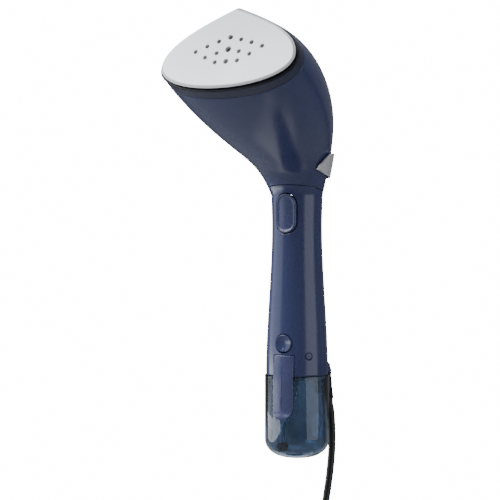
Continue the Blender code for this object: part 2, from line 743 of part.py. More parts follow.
def make_trigger(front):
    cut(front, trigger_shape("cut_trigger_window", RUN_GAP, -0.005, -0.05, None))
    make_pin_ears(front, TRIGGER_PIVOT, "trigger", 0.0060, 0.0130, 0.0010)
    trigger = trigger_shape("trigger", 0, -0.005, -0.05, NAVY)
    heights = steps(TRIGGER_Z - TRIGGER_L, NECK_Z, 6)
    face = [circle(grip_radius(z) + TRIGGER_PROUD, z, AROUND) for z in heights]
    face += [head_ring(s, -TRIGGER_PROUD) for s in (0.04, 0.08, 0.12)]
    back = [circle(grip_radius(z) + TRIGGER_PROUD - TRIGGER_T, z, AROUND) for z in heights]
    back += [head_ring(s, TRIGGER_T - TRIGGER_PROUD) for s in (0.04, 0.08, 0.12)]
    cut(trigger, loft("cut_trigger_face", face + back[::-1], None, closed=True), "INTERSECT")
    pivot = TRIGGER_PIVOT
    lug_half_h = EAR_HALF_H - GAP
    lug = box("join_trigger_lug", (-LUG_HALF_W, -0.0195, pivot.z - lug_half_h),
              (LUG_HALF_W, pivot.y + lug_half_h, pivot.z + lug_half_h), None)
    stem = box("join_trigger_stem", (-0.0015, -0.0195, TRIGGER_STEM_Z - 0.0015),
               (0.0015, -0.0170, TRIGGER_STEM_Z + 0.0015), None)
    cut(trigger, lug, "UNION")
    cut(trigger, stem, "UNION")
    cut(trigger, rod("cut_trigger_lug", pivot - X * 0.01, pivot + X * 0.01, PIN_R + GAP, None))
    put_origin(trigger, pivot)
    rod("trigger_pin", pivot - X * PIN_HALF_L, pivot + X * PIN_HALF_L, PIN_R, STEEL)
    board_face = BOARD_Y - BOARD_T
    box("trigger_switch", (-0.0032, -0.0143, TRIGGER_STEM_Z - 0.0045),
        (0.0032, board_face - GAP, TRIGGER_STEM_Z + 0.0045), BLACK)
    spring("trigger_spring", (0, -0.0177, TRIGGER_SPRING_Z), (0, board_face - GAP, TRIGGER_SPRING_Z),
           0.0022, 0.0003, 5)


def make_power_button(front):
    radius = grip_radius(BUTTON_Z)
    place = Vector((0, 0, BUTTON_Z))
    hole = turned("cut_button_hole", ((BUTTON_R + RUN_GAP, 0.010), (BUTTON_R + RUN_GAP, 0.040)), None, 24,
                  frame=along((0, -1, 0), place))
    cut(front, hole)
    face, dish = radius + 0.0001, 0.0006
    stem_end = radius - BUTTON_T - BUTTON_STEM_L
    button = turned("power_button",
                    ((0.0020, stem_end), (0.0020, radius - BUTTON_T), (BUTTON_R, radius - BUTTON_T),
                     (BUTTON_R, face - 0.0004), (BUTTON_R - 0.0006, face), (BUTTON_R - 0.0024, face - dish),
                     (0.0010, face - 2 * dish)),
                    NAVY, 24, frame=along((0, -1, 0), place))
    light = along((0, -1, 0), place - Vector((0, 0, LIGHT_DROP)))
    seat = turned("cut_light_seat", ((LIGHT_R + GAP, face - 0.0022), (LIGHT_R + GAP, face + 0.002)),
                  None, COARSE, frame=light)
    cut(button, seat)
    turned("power_light", ((LIGHT_R, face - 0.0022 + GAP), (LIGHT_R, face - 0.0005)), LENS, COARSE, frame=light)
    switch_face = -stem_end + BUTTON_TRAVEL + GAP
    box("button_switch", (-0.0030, switch_face, BUTTON_Z - 0.0030),
        (0.0030, BOARD_Y - BOARD_T - GAP, BUTTON_Z + 0.0030), BLACK)
    put_origin(button, place - Vector((0, radius, 0)))


def make_latch(front):
    cut(front, latch_block("cut_latch_slot", RUN_GAP, -0.006, 0.006))
    make_pin_ears(front, LATCH_PIVOT, "latch", 0.0058, 0.0125, 0.0018)
    latch = latch_block("tank_latch", 0, -LATCH_T, 0)
    latch.hide_render = False
    latch.display_type = "TEXTURED"
    latch.data.materials.append(material(*NAVY))
    pivot = LATCH_PIVOT
    lug_half_h = EAR_HALF_H - GAP / 3
    lug = box("join_latch_lug", (-LUG_HALF_W, -0.0235, pivot.z - lug_half_h),
              (LUG_HALF_W, pivot.y + lug_half_h, pivot.z + lug_half_h), None)
    cut(latch, lug, "UNION")
    cut(latch, rod("cut_latch_lug", pivot - X * 0.01, pivot + X * 0.01, PIN_R + GAP, None))
    put_origin(latch, pivot)
    rod("latch_pin", pivot - X * PIN_HALF_L, pivot + X * PIN_HALF_L, PIN_R, STEEL)
    outer_end = -latch_radius(LATCH_SPRING_Z) + LATCH_T + GAP
    inner_end = -TANK_NECK_R - SOCKET_CLEAR - SOCKET_WALL - GAP
    spring("latch_spring", (0, outer_end, LATCH_SPRING_Z), (0, inner_end, LATCH_SPRING_Z), 0.0016, 0.00025, 6)


def make_cord_boss(rear):
    """A hump on the rear shell, low down and to one side, with a socket under it for the cord."""
    rings = []
    inner = BASE_R - WALL / 2
    for z, reach in ((-0.0560, 0.0242), (-0.0600, 0.0262), (-0.0650, 0.0308), (-0.0700, 0.0345),
                     (BASE_Z, CORD_OUT + CORD_BOSS_R)):
        half = min(CORD_BOSS_R, reach - inner)
        ring = []
        for i in range(COARSE + 1):
            a = pi * i / COARSE - pi / 2
            ring.append((reach - half + half * cos(a), half * sin(a)))
        ring += [(inner - GAP, half), (inner - GAP, -half)]
        side = Vector((-CORD_WAY.y, CORD_WAY.x, 0))
        rings.append([CORD_WAY * a + side * b + Vector((0, 0, z)) for a, b in ring])
    cut(rear, loft("join_cord_boss", rings, None), "UNION")
    place = CORD_WAY * CORD_OUT
    cut(rear, rod("cut_cord_socket", place + Vector((0, 0, BASE_Z - 0.01)),
                  place + Vector((0, 0, BASE_Z + 0.0070)), CORD_R + 2 * GAP, None, FINE))


# ---------- inside the grip ----------
def make_pump():
    at = (0, PUMP_Y)
    turned_ring("pump_body", tube_profile(PUMP_BORE_R, PUMP_R, -PUMP_HALF_L, PUMP_HALF_L), BLACK, FINE, at)
    turned_ring("pump_coil", ((PUMP_R + GAP, -COIL_HALF_L), (COIL_R, -COIL_HALF_L),
                              (COIL_R, COIL_HALF_L), (PUMP_R + GAP, COIL_HALF_L)), COPPER, FINE, at)
    turned("pump_plunger", ((PLUNGER_R, -PLUNGER_L), (PLUNGER_R, 0)), STEEL, COARSE, at)
    spring("pump_spring", (0, PUMP_Y, GAP), (0, PUMP_Y, PUMP_HALF_L - GAP), 0.0026, 0.0003, 6)
    top = PUMP_HALF_L + GAP
    turned("pump_valve", ((PUMP_R, top), (PUMP_R, top + VALVE_BODY_L), (HOSE_R, top + VALVE_BODY_L + 0.0015),
                          (HOSE_R, top + VALVE_END_L)), WHITE, COARSE, at)
    return top + VALVE_END_L


def make_hoses(valve_top, socket_top):
    low = [(0, 0, socket_top + GAP), (0, 0.0010, socket_top + 0.006), (0, 0.0060, -0.0420),
           (0, PUMP_Y, -0.0320), (0, PUMP_Y, -PUMP_HALF_L - GAP)]
    tube("water_hose_lower", smooth_line(low, 4), HOSE_R, SILICONE, sides=1)
    nozzle = PLATE_FRAME @ Vector((0, -0.0090, -COVER_BACK - GAP - NOZZLE_L - GAP))
    high = [(0, PUMP_Y, valve_top + GAP), (0, 0.0070, 0.0500), (0, 0.0030, 0.0800), (0, -0.0120, 0.1120),
            (0, -0.0420, 0.1380), nozzle - PLATE_OUT * 0.012, nozzle]
    tube("water_hose_upper", smooth_line(high, 4), HOSE_R, SILICONE, sides=1)


def make_board():
    w, n = BOARD_HALF_W, BOARD_NECK_HALF_W
    outline = ((-w, BOARD_LOW), (w, BOARD_LOW), (w, BOARD_SHOULDER), (n, BOARD_SHOULDER + 0.004),
               (n, BOARD_TOP), (-n, BOARD_TOP), (-n, BOARD_SHOULDER + 0.004), (-w, BOARD_SHOULDER))
    prism("circuit_board", outline, 0, BOARD_T, GREEN, facing(BOARD_Y))
    back = BOARD_Y + GAP
    top = CAPACITOR_LOW + CAPACITOR_L
    turned("capacitor", ((CAPACITOR_R, CAPACITOR_LOW), (CAPACITOR_R, top - 0.0005), (CAPACITOR_R - 0.0006, top)),
           BLACK, FINE, (0.0060, back + CAPACITOR_R))


def make_leads():
    clamp_top, clamp_y = CLAMP_LOW + CLAMP_H, (CLAMP_NEAR + CLAMP_FAR) / 2
    mains = [(-0.0070, clamp_y, clamp_top + GAP), (-0.0070, clamp_y, clamp_top + 0.0020),
             (-0.0080, 0.0120, -0.0530), (-0.0090, 0.0040, -0.0490),
             (-0.0090, -0.0030, -0.0480), (-0.0090, BOARD_Y + 2 * GAP, -0.0480)]
    tube("mains_lead", smooth_line(mains, 3), LEAD_R, BLACK, sides=1)
    back = BOARD_Y + LEAD_R + 5 * GAP
    end = PLATE_FRAME @ Vector((HEATER_HALF_W, HEATER_LEG, -COVER_BACK - GAP - HEATER_R - HEATER_TAIL - GAP))
    heater = [(0.0040, back, 0.0300), (0.0045, -0.0030, 0.0480), (0.0070, 0.0, 0.0800),
              (0.0100, -0.0180, 0.1200), (0.0140, -0.0450, 0.1500), end - PLATE_OUT * 0.010, end]
    tube("heater_lead", smooth_line(heater, 4), LEAD_R, WHITE, sides=1)


def make_cord_clamp():
    left, right = CLAMP_SIDES
    clamp = box("cord_clamp", (left, CLAMP_NEAR, CLAMP_LOW), (right, CLAMP_FAR, CLAMP_LOW + CLAMP_H), WHITE)
    shank_r = SCREW_R - 0.0004
    for number, x in enumerate((left + SCREW_HEAD_R, right - SCREW_HEAD_R), 1):
        start = Vector((x, CLAMP_NEAR - GAP, CLAMP_LOW + CLAMP_H / 2))
        cut(clamp, rod(f"cut_clamp_{number}", start - Vector((0, 0.01, 0)), start + Vector((0, 0.01, 0)),
                       shank_r + GAP, None))
        turned(f"clamp_screw_{number}",
               ((shank_r, -0.0050), (shank_r, 0), (2 * shank_r, 0), (2 * shank_r, 0.0014)), STEEL, COARSE,
               frame=along((0, -1, 0), start))


# ---------- tank ----------
def tank_profile(inset):
    """Half of the tank's section from its mouth to its flat foot, as (radius, z) points."""
    flat = TANK_FLAT_R
    shoulder = TANK_FOOT + TANK_ROUND_H
    points = [(TANK_R - inset, TANK_TOP + (0.01 if inset else 0)), (TANK_R - inset, shoulder)]
    for a in steps(pi / 10, pi / 2, 4):
        points.append((flat + (TANK_R - inset - flat) * cos(a), shoulder - (TANK_ROUND_H - inset) * sin(a)))
    return points


def make_tank():
    tank = turned("tank", tank_profile(0), SMOKE, AROUND)
    recess = LATCH_T + GAP
    cut(tank, latch_block("cut_tank_recess", RUN_GAP, -recess, 0.010, foot=0.03))
    cavity = turned("cut_tank_cavity", tank_profile(TANK_WALL), None, AROUND)
    cut(cavity, latch_block("cut_cavity_recess", RUN_GAP + TANK_WALL, -recess - TANK_WALL, 0.010, foot=0.03))
    cut(tank, cavity)
    lid_top = TANK_TOP - 0.0006
    lid = turned("tank_lid",
                 ((TANK_R - TANK_WALL - GAP, lid_top - LID_T), (TANK_R - TANK_WALL - GAP, lid_top),
                  (TANK_NECK_R, lid_top), (TANK_NECK_R, lid_top + TANK_NECK_L)), WHITE, AROUND)
    cut(lid, latch_block("cut_lid_recess", RUN_GAP + TANK_WALL + GAP, -recess - TANK_WALL - GAP, 0.010,
                         foot=0.03))
    cut(lid, rod("cut_lid_bore", (0, 0, lid_top - 0.0010), (0, 0, lid_top + 0.02), 0.0045, None, FINE))
    seal_low = lid_top + 0.0040
    turned_ring("tank_seal", tube_profile(TANK_NECK_R + 0.0001, TANK_NECK_R + 0.0008, seal_low,
                                          seal_low + 0.0018), RUBBER, 24)
    below = lid_top - LID_T - GAP
    x, y = FILTER_AT
    top = TANK_FOOT + 0.0117
    line = smooth_line([(0, 0, below), (-0.0010, -0.0010, below - 0.010), (x + 0.0010, y + 0.0015, top + 0.0141),
                        (x, y, top + 0.0051), (x, y, top + GAP)], 4)
    tube("suction_tube", line, HOSE_R - 0.0001, SILICONE)
    turned("inlet_filter", ((FILTER_R - 0.0015, top - 0.0074), (FILTER_R, top - 0.0064),
                            (FILTER_R, top - 0.0009), (FILTER_R - 0.0019, top)), BLACK, COARSE, FILTER_AT)
    turned("air_valve", ((VALVE_R - 0.0008, below - 0.0133), (VALVE_R, below - 0.0118), (VALVE_R, below - 0.0030),
                         (VALVE_R - 0.0006, below - 0.0025), (VALVE_R - 0.0006, below)), WHITE, COARSE, VALVE_AT)


def make_socket():
    """The grip's floor, with a cup that the tank's neck pushes into."""
    low = BASE_Z + 0.0004
    cup = TANK_NECK_R + SOCKET_CLEAR
    top, ceiling = low + SOCKET_L, low + SOCKET_DEPTH
    bore = SPIGOT_R - 0.0016
    disc_r = grip_radius(BASE_Z + 0.004) - WALL - GAP
    socket = turned_ring("tank_socket",
                         ((disc_r, low), (disc_r, low + SOCKET_T), (cup + SOCKET_WALL, low + SOCKET_T),
                          (cup + SOCKET_WALL, top), (SPIGOT_R, top), (SPIGOT_R, top + SPIGOT_L),
                          (bore, top + SPIGOT_L), (bore, ceiling), (cup, ceiling), (cup, low)), WHITE, 24)
    cut(socket, latch_block("cut_socket_recess", RUN_GAP + 0.001, -LATCH_T - 0.0014, 0.010))
    return top + SPIGOT_L


# ---------- cord ----------
def make_relief():
    """The tapered sleeve that the cord leaves the grip through; returns its lower end and direction."""
    place = CORD_WAY * CORD_OUT
    top = place + Vector((0, 0, BASE_Z + 0.0065))
    end = CORD_WAY * 0.0352 + Vector((0, 0, BASE_Z - RELIEF_L))
    line = (top, place + Vector((0, 0, BASE_Z - GAP)), place + Vector((0, 0, BASE_Z - GAP - 0.0001)),
            place + CORD_WAY * 0.0012 + Vector((0, 0, BASE_Z - 0.010)), end)
    radii = (CORD_R, CORD_R, CORD_R + 0.0009, CORD_R + 0.0007, CORD_R + 0.0003)
    rings = [circle(r, p.z, FINE, (p.x, p.y)) for r, p in zip(radii, line)]
    loft("strain_relief", rings, RUBBER)
    return end


def make_cord(start):
    hank_x = CORD_WAY.x * CORD_END_OUT - HANK_FOLD
    shoulder = HANK_W / 2 - sqrt((HANK_W / 2) ** 2 - (HANK_FOLD - CORD_R) ** 2)
    join = Vector((hank_x + HANK_FOLD, CORD_WAY.y * CORD_END_OUT, HANK_TOP - shoulder + 2 * GAP))
    route = [start - Vector((0, 0, 2 * GAP)), start - Vector((0, 0, 0.0040))]
    route += [CORD_WAY * out + Vector((0, 0, z)) for out, z in CORD_BOW]
    route += [join + Vector((0, 0, 0.006)), join]
    tube("cord", smooth_line(route, 2), CORD_R, PVC, sides=3)
    return Vector((hank_x, join.y - 2 * HANK_PITCH, HANK_TOP - HANK_H / 2))


def make_hank(middle):
    outline = stadium(HANK_W / 2, HANK_H / 2)
    frame = Matrix.Translation(middle) @ facing(0)
    prism("cord_hank", outline, -HANK_T / 2, HANK_T / 2, PVC, frame)
    tie = box("cord_tie", (-HANK_W / 2 - GAP - TIE_T, -HANK_T / 2 - GAP - TIE_T, -TIE_H / 2),
              (HANK_W / 2 + GAP + TIE_T, HANK_T / 2 + GAP + TIE_T, TIE_H / 2), BLACK,
              Matrix.Translation(middle))
    cut(tie, box("cut_tie", (-HANK_W / 2 - GAP, -HANK_T / 2 - GAP, -TIE_H),
                 (HANK_W / 2 + GAP, HANK_T / 2 + GAP, TIE_H), None, Matrix.Translation(middle)))


def make_plug(middle):
    """A round two-pin plug that hangs under the hank."""
    x, y = middle.x + HANK_FOLD, middle.y + HANK_PITCH
    half = HANK_W / 2
    nearest = HANK_FOLD - PLUG_NECK_R
    top = middle.z - HANK_H / 2 + half - sqrt(half ** 2 - nearest ** 2) - GAP
    neck = top - PLUG_NECK_L
    face = neck - PLUG_BODY_L
    body = turned("plug", ((PLUG_NECK_R, top), (PLUG_NECK_R + 0.0018, neck + 0.002), (PLUG_R - 0.004, neck - 0.001),
                           (PLUG_R, neck - 0.006), (PLUG_R, face + 0.001), (PLUG_R - 0.001, face)),
                  BLACK, FINE, (x, y))
    for number, way in ((1, -1), (2, 1)):
        place = Vector((x + way * PLUG_PIN_APART / 2, y, face))
        cut(body, rod(f"cut_pin_{number}", place + Vector((0, 0, PLUG_PIN_SEAT)), place - Vector((0, 0, 0.002)),
                      PLUG_PIN_R + GAP, None))
        rod(f"plug_pin_{number}", place + Vector((0, 0, PLUG_PIN_SEAT - GAP)), place - Vector((0, 0, PLUG_PIN_L)),
            PLUG_PIN_R, STEEL)


def main():
    for obj in list(bpy.data.objects):
        bpy.data.objects.remove(obj)
    make_head_housing()
    make_collar()
    make_gasket()
    make_plate()
    make_heater(make_steam_engine())
    make_slider()
    front, rear = make_grip_shells()
    make_handle_screws()
    make_trigger(front)
    make_power_button(front)
    make_latch(front)
    make_cap_seats(front)
    make_cord_boss(rear)
    valve_top = make_pump()
    make_hoses(valve_top, make_socket())
    make_board()
    make_leads()
    make_cord_clamp()
    make_tank()
    middle = make_cord(make_relief())
    make_hank(middle)
    make_plug(middle)


main()
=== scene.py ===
import bpy
import json
from math import pi, sin, cos, sqrt, radians
from mathutils import Vector, Matrix


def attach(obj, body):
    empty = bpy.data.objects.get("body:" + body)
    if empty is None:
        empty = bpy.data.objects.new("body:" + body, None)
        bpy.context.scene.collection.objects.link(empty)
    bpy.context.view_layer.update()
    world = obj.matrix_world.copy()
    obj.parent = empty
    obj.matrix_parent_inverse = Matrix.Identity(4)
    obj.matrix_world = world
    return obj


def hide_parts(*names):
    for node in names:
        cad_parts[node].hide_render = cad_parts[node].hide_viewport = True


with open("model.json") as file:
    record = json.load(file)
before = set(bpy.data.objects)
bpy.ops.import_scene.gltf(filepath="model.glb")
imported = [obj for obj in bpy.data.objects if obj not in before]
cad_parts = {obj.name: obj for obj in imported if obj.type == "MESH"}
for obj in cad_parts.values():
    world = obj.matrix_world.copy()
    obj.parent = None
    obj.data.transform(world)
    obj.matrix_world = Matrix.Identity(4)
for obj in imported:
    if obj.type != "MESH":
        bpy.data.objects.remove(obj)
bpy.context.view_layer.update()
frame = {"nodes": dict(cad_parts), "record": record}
bpy.ops.object.select_all(action="DESELECT")
print("frame loaded:", len(frame["nodes"]), "nodes")

# camera, level with the neck and a little to the right of the plate
cameraAt = {"turn": radians(29), "away": 0.96, "side": -0.0376, "height": 0.024, "lens": 86.4}


def addCamera(c):
    ahead = Vector((-sin(c["turn"]), cos(c["turn"]), 0))
    right = Vector((cos(c["turn"]), sin(c["turn"]), 0))
    place = right * c["side"] - ahead * c["away"] + Vector((0, 0, c["height"]))
    bpy.ops.object.camera_add(location=place, rotation=(pi / 2, 0, c["turn"]))
    camera = bpy.context.object
    camera.name = "studioCamera"
    camera.data.lens = c["lens"]
    camera.data.clip_start = 0.05
    bpy.context.scene.camera = camera


addCamera(cameraAt)


# small helpers for modelling

def editAll():
    bpy.ops.object.mode_set(mode="EDIT")
    bpy.ops.mesh.select_all(action="SELECT")


def objectMode():
    bpy.ops.object.mode_set(mode="OBJECT")


def onlySelect(piece):
    bpy.ops.object.select_all(action="DESELECT")
    piece.select_set(True)
    bpy.context.view_layer.objects.active = piece


def named(name):
    piece = bpy.context.object
    piece.name = name
    piece.data.name = name
    return piece


def placed():
    bpy.ops.object.transform_apply(location=True, rotation=True, scale=True)


def gridPiece(name, rings, loop=True, caps=True):
    # a grid whose rows are laid on rings of points, closed round and capped
    across = len(rings[0]) + (1 if loop else 0)
    bpy.ops.object.select_all(action="DESELECT")
    bpy.ops.mesh.primitive_grid_add(x_subdivisions=across - 1, y_subdivisions=len(rings) - 1, size=2)
    piece = named(name)
    for v in piece.data.vertices:
        i = round((v.co.x + 1) / 2 * (across - 1))
        j = round((v.co.y + 1) / 2 * (len(rings) - 1))
        v.co = rings[j][i % len(rings[0])]
    editAll()
    bpy.ops.mesh.remove_doubles(threshold=1e-6)
    if caps:
        bpy.ops.mesh.fill_holes(sides=0)
    bpy.ops.mesh.select_all(action="SELECT")
    bpy.ops.mesh.normals_make_consistent(inside=False)
    objectMode()
    return piece


def applyModifier(piece, kind, **settings):
    onlySelect(piece)
    modifier = piece.modifiers.new(kind.lower(), kind)
    for key, value in settings.items():
        setattr(modifier, key, value)
    bpy.ops.object.modifier_apply(modifier=modifier.name)


def thicken(piece, wall, inside=Vector((0, 0, 0))):
    # a wall grown inwards from an outer sheet, once the sheet faces away from the point inside
    outwards = sum((f.center - inside).normalized().dot(f.normal) for f in piece.data.polygons)
    if outwards < 0:
        onlySelect(piece)
        editAll()
        bpy.ops.mesh.flip_normals()
        objectMode()
    applyModifier(piece, "SOLIDIFY", thickness=wall, offset=-1, use_even_offset=True)


def roundRims(piece, width, segments=2):
    applyModifier(piece, "BEVEL", width=width, segments=segments, limit_method="ANGLE",
                  angle_limit=radians(50), harden_normals=False)


def boolean(piece, other, kind="DIFFERENCE"):
    applyModifier(piece, "BOOLEAN", operation=kind, solver="EXACT", object=other)
    bpy.data.objects.remove(other)


def finishPiece(piece, material, body, replaced=(), smooth=35):
    onlySelect(piece)
    if smooth:
        bpy.ops.object.shade_smooth_by_angle(angle=radians(smooth))
    piece.data.materials.clear()
    piece.data.materials.append(material)
    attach(piece, body)
    if replaced:
        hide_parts(*replaced)
    return piece


def linePiece(name, points, radius, sides):
    curve = bpy.data.curves.new(name, "CURVE")
    curve.dimensions = "3D"
    made = curve.splines.new("POLY")
    made.points.add(len(points) - 1)
    for point, place in zip(made.points, points):
        point.co = (*place, 1)
    curve.bevel_depth = radius
    curve.bevel_resolution = sides
    curve.use_fill_caps = True
    piece = bpy.data.objects.new(name, curve)
    bpy.context.collection.objects.link(piece)
    return piece


def smoothLine(points, steps):
    points = [Vector(p) for p in points]
    ends = [points[0] * 2 - points[1]] + points + [points[-1] * 2 - points[-2]]
    line = []
    for a, b, c, d in zip(ends, ends[1:], ends[2:], ends[3:]):
        for k in range(steps):
            t = k / steps
            line.append((b * 2 + (c - a) * t + (a * 2 - b * 5 + c * 4 - d) * t ** 2
                         + (b * 3 - a - c * 3 + d) * t ** 3) / 2)
    return line + [points[-1]]


def smoothStep(u):
    u = min(max(u, 0), 1)
    return u * u * (3 - 2 * u)


# materials: shared effects first, then one function for each kind of finish

def newGroup(name, inputs, outputs):
    group = bpy.data.node_groups.new(name, "ShaderNodeTree")
    for label, kind, value in inputs:
        socket = group.interface.new_socket(name=label, in_out="INPUT", socket_type="NodeSocket" + kind)
        socket.default_value = value
    for label, kind in outputs:
        group.interface.new_socket(name=label, in_out="OUTPUT", socket_type="NodeSocket" + kind)
    return group, group.nodes.new("NodeGroupInput"), group.nodes.new("NodeGroupOutput")


def addNode(tree, kind, **values):
    # a value whose name starts with in_ goes on that socket, and any other on the node itself
    node = tree.nodes.new("ShaderNode" + kind)
    for key, value in values.items():
        if key.startswith("in_"):
            node.inputs[key[3:].replace("_", " ")].default_value = value
        else:
            setattr(node, key, value)
    return node


def wire(tree, *links):
    for source, given, target, taken in links:
        tree.links.new(source.outputs[given], target.inputs[taken])


def makeMouldedSkin():
    # faint orange peel, and patches of slightly different polish
    group, given, out = newGroup(
        "mouldedSkin", (("Peel", "Float", 900), ("Depth", "Float", 0.02), ("Rough Low", "Float", 0.15),
                        ("Rough High", "Float", 0.25)), (("Roughness", "Float"), ("Normal", "Vector")))
    where = addNode(group, "TexCoord")
    peel = addNode(group, "TexNoise", in_Detail=2, in_Roughness=0.5)
    patch = addNode(group, "TexNoise", in_Scale=55, in_Detail=4, in_Roughness=0.6)
    level = addNode(group, "MapRange", in_From_Min=0.35, in_From_Max=0.68)
    bump = addNode(group, "Bump", in_Distance=0.0004)
    wire(group, (where, "Object", peel, "Vector"), (where, "Object", patch, "Vector"),
         (given, "Peel", peel, "Scale"), (patch, "Fac", level, "Value"), (given, "Rough Low", level, "To Min"),
         (given, "Rough High", level, "To Max"), (peel, "Fac", bump, "Height"),
         (given, "Depth", bump, "Strength"), (level, "Result", out, "Roughness"), (bump, "Normal", out, "Normal"))
    return group


def makeFineWear():
    # sparse rubbed flecks that gather in broad patches
    group, given, out = newGroup(
        "fineWear", (("Base", "Color", (0.5, 0.5, 0.5, 1)), ("Rubbed", "Color", (0.6, 0.6, 0.6, 1)),
                     ("Amount", "Float", 0.1), ("Size", "Float", 260)), (("Color", "Color"),))
    where = addNode(group, "TexCoord")
    fleck = addNode(group, "TexNoise", in_Detail=6, in_Roughness=0.7)
    broad = addNode(group, "TexNoise", in_Scale=30, in_Detail=2)
    cutOff = addNode(group, "MapRange", in_From_Min=0.56, in_From_Max=0.72)
    both = addNode(group, "Math", operation="MULTIPLY")
    share = addNode(group, "Math", operation="MULTIPLY")
    mix = addNode(group, "Mix", data_type="RGBA")
    wire(group, (where, "Object", fleck, "Vector"), (where, "Object", broad, "Vector"),
         (given, "Size", fleck, "Scale"), (fleck, "Fac", cutOff, "Value"), (cutOff, "Result", both, 0),
         (broad, "Fac", both, 1), (both, 0, share, 0), (given, "Amount", share, 1), (share, 0, mix, "Factor"),
         (given, "Base", mix, "A"), (given, "Rubbed", mix, "B"), (mix, "Result", out, "Color"))
    return group


def makeBrushed():
    # fine parallel lines from a drawn or turned surface
    group, given, out = newGroup(
        "brushed", (("Lines", "Float", 2500), ("Depth", "Float", 0.1), ("Stretch", "Float", 0.03)),
        (("Value", "Float"), ("Normal", "Vector")))
    where = addNode(group, "TexCoord")
    parts = addNode(group, "SeparateXYZ")
    squeeze = addNode(group, "Math", operation="MULTIPLY")
    joined = addNode(group, "CombineXYZ")
    lines = addNode(group, "TexNoise", in_Detail=3, in_Roughness=0.65)
    bump = addNode(group, "Bump", in_Distance=0.0002)
    wire(group, (where, "Object", parts, "Vector"), (parts, "X", squeeze, 0), (given, "Stretch", squeeze, 1),
         (squeeze, 0, joined, "X"), (parts, "Y", joined, "Y"), (parts, "Z", joined, "Z"),
         (joined, "Vector", lines, "Vector"), (given, "Lines", lines, "Scale"), (lines, "Fac", bump, "Height"),
         (given, "Depth", bump, "Strength"), (lines, "Fac", out, "Value"), (bump, "Normal", out, "Normal"))
    return group


mouldedSkin = makeMouldedSkin()
fineWear = makeFineWear()
brushed = makeBrushed()


def startMaterial(name):
    material = bpy.data.materials.new(name)
    material.use_nodes = True
    tree = material.node_tree
    return material, tree, tree.nodes["Principled BSDF"]


def setSockets(shader, **values):
    for key, value in values.items():
        shader.inputs[key.replace("_", " ")].default_value = value


def useGroup(tree, group, **values):
    node = tree.nodes.new("ShaderNodeGroup")
    node.node_tree = group
    setSockets(node, **values)
    return node


def wornColour(tree, base, rubbed, **values):
    return useGroup(tree, fineWear, Base=(*base, 1), Rubbed=(*rubbed, 1), **values)


def plasticMaterial(name, base, rubbed, rough, peel=900, depth=0.02, wear=0.12, metallic=0, ior=1.5):
    material, tree, shader = startMaterial(name)
    skin = useGroup(tree, mouldedSkin, Peel=peel, Depth=depth, Rough_Low=rough[0], Rough_High=rough[1])
    worn = wornColour(tree, base, rubbed, Amount=wear)
    wire(tree, (worn, "Color", shader, "Base Color"), (skin, "Roughness", shader, "Roughness"),
         (skin, "Normal", shader, "Normal"))
    setSockets(shader, Metallic=metallic, IOR=ior)
    return material


def metalMaterial(name, base, dark, rough):
    material, tree, shader = startMaterial(name)
    brush = useGroup(tree, brushed)
    worn = wornColour(tree, base, dark, Amount=0.5, Size=180)
    level = addNode(tree, "MapRange", in_To_Min=rough[0], in_To_Max=rough[1])
    wire(tree, (brush, "Value", level, "Value"), (worn, "Color", shader, "Base Color"),
         (level, "Result", shader, "Roughness"), (brush, "Normal", shader, "Normal"))
    setSockets(shader, Metallic=1)
    return material


def castMaterial(name, base, dark):
    # the fine pebbled skin of a die casting
    material, tree, shader = startMaterial(name)
    where = addNode(tree, "TexCoord")
    grain = addNode(tree, "TexVoronoi", in_Scale=1400)
    bump = addNode(tree, "Bump", in_Strength=0.35, in_Distance=0.0005)
    worn = wornColour(tree, base, dark, Amount=0.8, Size=120)
    level = addNode(tree, "MapRange", in_To_Min=0.4, in_To_Max=0.65)
    wire(tree, (where, "Object", grain, "Vector"), (grain, "Distance", bump, "Height"),
         (grain, "Distance", level, "Value"), (level, "Result", shader, "Roughness"),
         (worn, "Color", shader, "Base Color"), (bump, "Normal", shader, "Normal"))
    setSockets(shader, Metallic=1)
    return material


def windingMaterial(name):
    # enamelled wire, wound in even rows round the coil, with painted shade that darkens the grooves between the rows
    material, tree, shader = startMaterial(name)
    where = addNode(tree, "TexCoord")
    rows = addNode(tree, "TexWave", in_Scale=620, in_Distortion=0.6, bands_direction="Z")
    # painted shade: the ramp goes from dark in the grooves to bright copper on the tops of the wires, following the
    # bump
    tint = addNode(tree, "ValToRGB")
    tint.color_ramp.elements[0].color = (0.20, 0.05, 0.02, 1)
    tint.color_ramp.elements[1].color = (0.72, 0.30, 0.13, 1)
    bump = addNode(tree, "Bump", in_Strength=0.6, in_Distance=0.0004)
    wire(tree, (where, "Object", rows, "Vector"), (rows, "Fac", tint, "Fac"), (tint, "Color", shader, "Base Color"),
         (rows, "Fac", bump, "Height"), (bump, "Normal", shader, "Normal"))
    setSockets(shader, Metallic=0.9, Roughness=0.3)
    return material


def boardMaterial(name):
    # green solder mask with copper tracks under it
    material, tree, shader = startMaterial(name)
    where = addNode(tree, "TexCoord")
    tracks = addNode(tree, "TexBrick", in_Scale=160, in_Mortar_Size=0.03, in_Color1=(0.015, 0.12, 0.05, 1),
                     in_Color2=(0.018, 0.15, 0.06, 1), in_Mortar=(0.05, 0.24, 0.10, 1))
    turn = addNode(tree, "Mapping", in_Rotation=(pi / 2, 0, 0))
    bump = addNode(tree, "Bump", in_Strength=0.2, in_Distance=0.0002)
    skin = useGroup(tree, mouldedSkin, Rough_Low=0.25, Rough_High=0.4)
    wire(tree, (where, "Object", turn, "Vector"), (turn, "Vector", tracks, "Vector"),
         (tracks, "Color", shader, "Base Color"), (tracks, "Fac", bump, "Height"),
         (bump, "Normal", shader, "Normal"), (skin, "Roughness", shader, "Roughness"))
    return material


